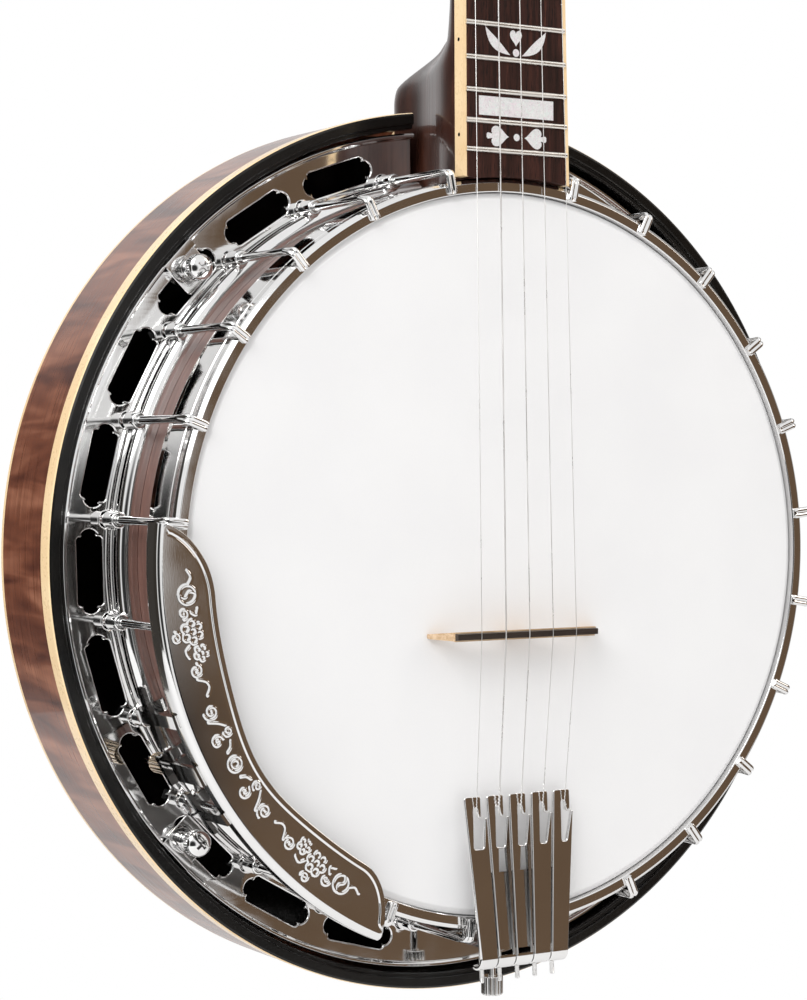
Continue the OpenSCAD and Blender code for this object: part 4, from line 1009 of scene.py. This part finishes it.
def threaded(radius, low, high, pitch=0.5):
    """A screw's outline with a rounded end and ring-shaped threads."""
    outline = [(0, low), (radius - 0.4, low), (radius - 0.05, low + 0.35)]
    count = int((high - low - 0.8) / pitch)
    for k in range(count):
        z = low + 0.5 + k * pitch
        outline += [(radius, z), (radius - 0.16, z + pitch / 2)]
    return lathe(outline + [(radius, high), (0, high)], 20)


def lying(points):
    """Turns a shape's Z axis to point along Y."""
    x, y, z = points.T
    return np.column_stack([x, z, -y])


def finger_screws():
    screw = threaded(0.95, 0, 22).moved(lying)
    middle = [(finger_edge(k, 0) + finger_edge(k + 1, 0)) / 2 for k in range(5)]
    return together([screw.moved(shifted(x, -10, -6.4)) for x in middle]).moved(on_tail)


piece("Tailpiece adjusting screws", finger_screws(), POT, "chrome_plate", "finger_screws", sharp=30)


def knurled_nut(radius, low, high, bore, ridges, deep):
    outline = rounded([(bore, low, 0.15), (radius, low, 0.5), (radius, high, 0.5), (bore, high, 0.15)], 4)

    def knurl(angles, r, height):
        away = min(height - low, high - height)
        return -deep * np.abs(np.sin(ridges / 2 * angles)) ** 0.7 * (r > radius - 0.7 and away > 0.2)

    return lathe(outline, ridges * 8, ridge=knurl)


tail_nut = knurled_nut(4.35, 0, 7.4, 1.56, 18, 0.4).moved(lying).moved(shifted(2.7, -176, -18.5))
piece("Tailpiece nut", tail_nut, "tailpiece_nut", "chrome_plate", "tailpiece_nut", sharp=40)


def string_tails():
    parts = []
    for k in range(5):
        d = STRING_D[k]
        slot = slot_x(k) + SLOT_NARROW / 2
        front = finger_right(k, TAIL_LENGTH) - 2.2
        tongue = (slot + SLOT_NARROW / 2 + front) / 2 + 0.2
        rest = at(on_tail, slot, TAIL_LENGTH - 8, 0.45)
        run = np.array([bridge_point(k) + (rest - bridge_point(k)) * t for t in (0, 0.8, 1)])
        parts.append(tube(run, d / 2, 8))
        turns = np.linspace(0, 2 * math.pi * 7, 80)
        along = rest + (bridge_point(k) - rest) * np.linspace(0.02, 0.16, 80)[:, None]
        around_it = along + 0.5 * d * np.column_stack([np.cos(turns), 0 * turns, np.sin(turns)])
        parts.append(tube(around_it, 0.4 * d, 6))
        loop = [(tongue + 1.35 * math.sin(a), TONGUE_TIP + 1.4 - 1.5 * math.cos(a), 0.28)
                for a in np.linspace(-2.5, 2.0, 24)]
        parts.append(tube(on_tail(loop), 0.14, 6))
    return together(parts)


piece("String ends", string_tails(), POT, "string_steel", "string_tails", weighted=False, sharp=60)

# ---- Armrest ----

REST_START = 84.4
REST_END = 155.4
REST_OUTER = 157.5
REST_TOP = 9.6
REST_T = 1.5
REST_ROLL = 2.6
REST_SKIRT_LOW = REST_TOP - 8.0
REST_MIDDLE = 145.0


def rest_inner(t):
    """Radius of the armrest's inner edge, with t from 0 to 1 along it."""
    first = 1 - (1 - np.minimum(1, t / 0.15)) ** 2
    last = 1 - (1 - np.minimum(1, (1 - t) / 0.11)) ** 2
    width = 23.4 - 3.6 * np.exp(-((t - 0.55) / 0.16) ** 2)
    return REST_OUTER - np.maximum(0.6, width * np.sqrt(np.maximum(0, first * last)))


def spiral(x, y, radius, start, turns, steps=26, inner=0.12):
    """A curl that winds inwards from a start angle in degrees; negative turns wind the other way."""
    a = math.radians(start) + 2 * math.pi * turns * np.linspace(0, 1, steps)
    r = radius * (1 - (1 - inner) * np.linspace(0, 1, steps))
    return np.column_stack([x + r * np.cos(a), y + r * np.sin(a)])


def curve(*points):
    """A smooth line through points."""
    p = np.array(points, float)
    out = []
    for i in range(len(p) - 1):
        before, here, there, after = p[max(i - 1, 0)], p[i], p[i + 1], p[min(i + 2, len(p) - 1)]
        for t in np.linspace(0, 1, 8, endpoint=False):
            square = 2 * before - 5 * here + 4 * there - after
            cube = 3 * here - before - 3 * there + after
            out.append(0.5 * (2 * here + (there - before) * t + square * t * t + cube * t ** 3))
    out.append(p[-1])
    return np.array(out)


def flower(x, y, radius, petals):
    """A small ring with petals round it."""
    strokes = [spiral(x, y, radius * 0.3, 0, 1, inner=1.0)]
    for k in range(petals):
        a = 2 * math.pi * k / petals
        out = 0.68 * radius
        strokes.append(spiral(x + out * math.cos(a), y + out * math.sin(a), radius * 0.32, 0, 1, 12, 1.0))
    return strokes


# The armrest's ornament, drawn for one half and mirrored, as places along it and across it.
# Curls: place, radius, start angle, turns, and whether the mirrored one winds the other way.
# Stems: points of a smooth line. Flowers: place, radius, petals. Rings: place along, radius, start.
CURLS = ((58.4, 2.2, 2.1, 0, 1.3, True), (50.5, 6.4, 2.0, 180, 1.3, False),
        (37.4, 1.2, 2.6, 200, 1.5, False), (21.5, 0.4, 3.0, 90, 1.6, True),
        (10.6, 2.4, 2.5, 270, 1.4, True), (12.2, -3, 2.0, 90, 1.3, True))
STEMS = (((65, 3.4), (64, 1), (66, -1), (65, -3.4)), ((68.6, -0.6), (71, -1.8), (73.5, -0.4)),
        ((58.6, -0.6), (57.4, -2.6), (59.6, -3.6)), ((46.6, 1.6), (45, 3.4), (42.6, 2.6)),
        ((34.6, 1.6), (32.6, -1.6), (30, -2.2), (27.6, -0.4)),
        ((18.6, 2.8), (16.8, -0.6), (14.8, -3)), ((8.4, -2.4), (6.4, -1.4), (5.2, 0.6)))
FLOWERS = ((51.5, -0.4, 4.4, 6), (43.2, -2.4, 2.9, 5))
RINGS = ((0, 2.8, 0), (0, 1.4, 0), (65, 3.4, 90), (-65, 3.4, 90))


def ornament():
    """Raised scrolls and flowers on the armrest, in (length along it, distance across it)."""
    middle = 0.3
    strokes = [spiral(x, 0, radius, start, 1, inner=1.0) for x, radius, start in RINGS]
    for way in (-1, 1):
        for x, y, radius, petals in FLOWERS:
            strokes += flower(x * way, y, radius, petals)
        for x, y, radius, start, turns, mirrored in CURLS:
            strokes.append(spiral(x * way, y, radius, start, turns * (way if mirrored else 1)))
        for stem in STEMS:
            strokes.append(curve(*[(x * way, y) for x, y in stem]))
    return [stroke + np.array((0, middle)) for stroke in strokes]


def stroke_distance(x, y, stroke, reach=2.0):
    """Distance from points to a line of short straight runs, computed only where it may matter."""
    found = np.full(x.shape, reach)
    low, high = stroke.min(axis=0) - reach, stroke.max(axis=0) + reach
    near = (x > low[0]) & (x < high[0]) & (y > low[1]) & (y < high[1])
    if not near.any():
        return found
    px, py = x[near], y[near]
    best = np.full(px.shape, reach)
    for a, b in zip(stroke[:-1], stroke[1:]):
        run = b - a
        size = max(run @ run, 1e-9)
        t = np.clip(((px - a[0]) * run[0] + (py - a[1]) * run[1]) / size, 0, 1)
        best = np.minimum(best, np.hypot(px - a[0] - t * run[0], py - a[1] - t * run[1]))
    found[near] = best
    return found


def armrest():
    rows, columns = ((680, 92))
    t = np.linspace(0.0008, 0.9992, rows)
    angle = np.radians(REST_START + (REST_END - REST_START) * t)
    inner = rest_inner(t)
    skirt = REST_TOP - REST_ROLL - REST_SKIRT_LOW
    roll_centre = REST_OUTER - REST_ROLL
    quarter = REST_ROLL * math.pi / 2
    turn = np.arccos(np.clip((inner - roll_centre) / REST_ROLL, 0, 1))
    total = skirt + REST_ROLL * turn + np.maximum(0, roll_centre - inner)
    w = np.linspace(0, 1, columns)[None, :] * total[:, None]
    on_roll = np.clip((w - skirt) / REST_ROLL, 0, math.pi / 2)
    flat = np.maximum(0, w - skirt - quarter)
    radius = roll_centre + REST_ROLL * np.cos(on_roll) - flat
    height = np.where(w < skirt, REST_SKIRT_LOW + w, REST_TOP - REST_ROLL + REST_ROLL * np.sin(on_roll))
    out_r, out_z = np.cos(on_roll), np.sin(on_roll)
    length = (angle - math.radians((REST_START + REST_END) / 2)) * REST_MIDDLE
    along = length[:, None] + 0 * w
    across = radius - REST_MIDDLE
    edge_line = np.column_stack([length, inner - REST_MIDDLE])[::4]
    to_edge = stroke_distance(along, across, edge_line, 5.0)
    raised = 0.0
    for lift, place in ((0.16, 2.0), (-0.2, 2.8)):  # a bead and a groove along the inner edge
        raised += lift * np.exp(-((to_edge - place) / 0.3) ** 2) * (across < 8.0)
    lines = np.full(w.shape, 2.0)
    for stroke in ornament():
        lines = np.minimum(lines, stroke_distance(along, across, stroke))
    raised += 0.24 * np.exp(-(lines / 0.38) ** 4)
    from_rim = np.minimum(total[:, None] - w, w)
    dip = 0.4 * (1 - np.sqrt(1 - (1 - np.clip(from_rim / 0.5, 0, 1)) ** 2))
    raised = raised - dip
    points = []
    for lift in (raised, -REST_T + dip):
        r = radius + out_r * lift
        z = height + out_z * lift
        grid = np.stack([-r * np.sin(angle)[:, None], r * np.cos(angle)[:, None], z], axis=2)
        points.append(grid.reshape(-1, 3))
    first = np.arange(rows * columns).reshape(rows, columns)
    faces, marks = [], []
    # The lower face and the inner side of the skirt take the second finish, which is rougher and darkened as
    # painted shade.
    for grid, inside in ((first, False), (first + rows * columns, True)):
        quads = np.stack([grid[:-1, :-1], grid[1:, :-1], grid[1:, 1:], grid[:-1, 1:]], axis=2)
        faces += quads.reshape(-1, 4)[:, ::-1 if inside else 1].tolist()
        marks += [int(inside)] * ((rows - 1) * (columns - 1))
    rim = np.concatenate([first[0, :], first[1:, -1], first[-1, -2::-1], first[-2:0:-1, 0]])
    other = rim + rows * columns
    faces += list(zip(rim, other, np.roll(other, -1), np.roll(rim, -1)))
    marks += [0] * len(rim)
    return Shape(np.vstack(points), faces, marks)


piece("Armrest plate", armrest(), POT, "chrome_plate", "armrest_plate",
      [FINISHES["chrome_plate"], FINISHES["unpolished_painted_shade_plate"]], sharp=60)

arm_nut = knurled_nut(4.0, -33.3, -22.3, 1.56, 20, 0.3).moved(around(-119, 156.2))
piece("Armrest nut", arm_nut, "armrest_nut", "armrest_brass", "armrest_nut", sharp=40)

# ---- Buttons of the pegs ----


def button(low):
    """A peg's button, 18 x 11 x 15, squarish with soft corners, above a low point on its axis."""

    def shaped(value):
        return math.copysign(abs(value) ** (2 / 3.3), value) if abs(value) > 1e-9 else 0.0

    rings = []
    for u in np.linspace(-math.pi / 2, math.pi / 2, 25):
        wide = shaped(math.cos(u))
        rings.append([(9 * wide * shaped(math.cos(v)), 5.5 * wide * shaped(math.sin(v)),
                low + 7.5 + 7.5 * shaped(math.sin(u)))
                for v in np.linspace(0, 2 * math.pi, 48, endpoint=False)])
    return loft(rings)


def peg_button(k):
    low = -PEGHEAD_T - 21.4
    top = -PEGHEAD_T - 9.6
    shaft = lathe([(0, low - 2), (2.4, low - 2), (2.4, top), (0, top)], 32)
    collar = lathe([(0, top - 5), (3.4, top - 5), (3.4, top), (0, top)], 32)
    shape = button(low - 15) + shaft + collar
    return shape.moved(shifted(*PEG_PLACES[k], 0)).moved(on_peghead)


for number in range(4):
    piece(f"Peg button {number + 1}", peg_button(number), f"peg_button_{number + 1}", "pearloid",
          f"peg_button_{number + 1}")


def fifth_button():
    outer = 19.8
    shaft = lathe([(0, 13.6), (3.2, 13.6), (3.2, 16), (2, 16), (2, outer + 4), (0, outer + 4)], 32)
    shape = button(outer + 2.5) + shaft
    peg_s = FIFTH_S + 8
    return shape.moved(lambda p: np.column_stack([-p[:, 2], p[:, 1], p[:, 0]])).moved(
        shifted(-left_half(peg_s), peg_s, -BOARD_T - 5.5)).moved(on_neck)


piece("Fifth peg button", fifth_button(), "fifth_peg_button", "pearloid", "fifth_peg_button")

# ---- Stage, lights and camera ----

HEAD_CENTRE = Vector((0, HANG_Z, -HANG_Y)) * MM


def facing(azimuth, elevation):
    """Direction from the banjo's front, turned right by azimuth and up by elevation."""
    a, e = math.radians(azimuth), math.radians(elevation)
    return Vector((math.sin(a) * math.cos(e), -math.cos(a) * math.cos(e), math.sin(e)))


def backdrop():
    """White for the camera, and a studio of pale walls and dark gaps for reflections."""
    world = bpy.data.worlds.new("Studio")
    bpy.context.scene.world = world
    world.use_nodes = True
    sky = Nodes(world.node_tree)
    way = sky.add("TexCoord", {}).outputs["Generated"]
    rays = sky.add("LightPath", {}).outputs
    studio = (0.95, 0.95, 0.95)
    for azimuth, elevation, inner, outer, colour in BACKDROP_PATCHES:
        dot = sky.add("VectorMath", {0: way, 1: facing(azimuth, elevation)}, operation="DOT_PRODUCT")
        inputs = {"Value": dot.outputs["Value"], "From Min": math.cos(math.radians(outer)),
                "From Max": math.cos(math.radians(inner))}
        share = sky.add("MapRange", inputs, interpolation_type="SMOOTHSTEP")
        studio = sky.mixed(share.outputs["Result"], studio, colour)
    soft = sky.mixed(rays["Is Diffuse Ray"], studio, (0.78, 0.78, 0.78))
    seen = sky.mixed(rays["Is Camera Ray"], soft, (1.0, 1.0, 1.0))
    sky.tree.links.new(seen, sky.tree.nodes["Background"].inputs["Color"])


# Soft round patches of the studio: azimuth, elevation, inner and outer radius in degrees, colour
BACKDROP_PATCHES = (
    (0, -90, 30, 70, (0.5, 0.49, 0.48)),
    (100, 5, 20, 50, (0.35, 0.34, 0.33)),
    (180, 0, 30, 60, (0.8, 0.8, 0.8)),
    (-33, -5, 12, 26, (0.03, 0.03, 0.03)),
    (62, 0, 36, 38, (0.135, 0.088, 0.055)),
    (6, -38, 6, 14, (0.02, 0.02, 0.02)),
    (21, -8, 4.5, 6.5, (0.012, 0.01, 0.01)),
    (-142, 0, 22, 40, (0.05, 0.045, 0.04)),
    (-95, -4, 24, 34, (0.04, 0.035, 0.03)),
)
backdrop()


def area_light(name, azimuth, elevation, distance, size, power, colour=(1, 1, 1)):
    light = bpy.data.lights.new(name, "AREA")
    light.shape = "RECTANGLE"
    light.size, light.size_y = size
    light.energy = power
    light.color = colour
    obj = placed(name, light)
    obj.location = HEAD_CENTRE + facing(azimuth, elevation) * distance
    obj.rotation_euler = (HEAD_CENTRE - obj.location).to_track_quat("-Z", "Y").to_euler()


area_light("Key", -62, 38, 2.2, (1.4, 1.4), 30)
area_light("Fill", 62, 30, 2.6, (0.9, 1.6), 10, (1.0, 0.93, 0.85))

FLOOR_R = 1.5
FLOOR_Z = -1.17
FLOOR_SIDES = 96
floor = bpy.data.meshes.new("Floor")
floor_edge = [(x, y, FLOOR_Z) for x, y in circle(FLOOR_R, FLOOR_SIDES)]
floor.from_pydata(floor_edge, [], [tuple(range(FLOOR_SIDES))])
floor_finish = Finish("floor", (0.85, 0.85, 0.85), 0.7)
floor_finish.roughness(floor_finish.spread(floor_finish.noise(floor_finish.space, 8.0), 0.6, 0.8))
floor.materials.append(floor_finish.material)
placed("Floor", floor)

# The photo's camera, as fitted to the outline of the head and to the frets
camera = bpy.data.cameras.new("Camera")
camera.lens = 88.21
camera.sensor_width = 36
camera.clip_start = 0.01
camera_object = placed("Camera", camera)
camera_object.location = HEAD_CENTRE + facing(-33.55, 2.307) * 0.9582
turn = Matrix.Rotation(math.radians(-31.028), 4, "Z") @ Matrix.Rotation(math.radians(88.974), 4, "X")
camera_object.rotation_euler = (turn @ Matrix.Rotation(math.radians(-0.125), 4, "Z")).to_euler()
bpy.context.scene.camera = camera_object
bpy.context.scene.view_settings.view_transform = "Standard"
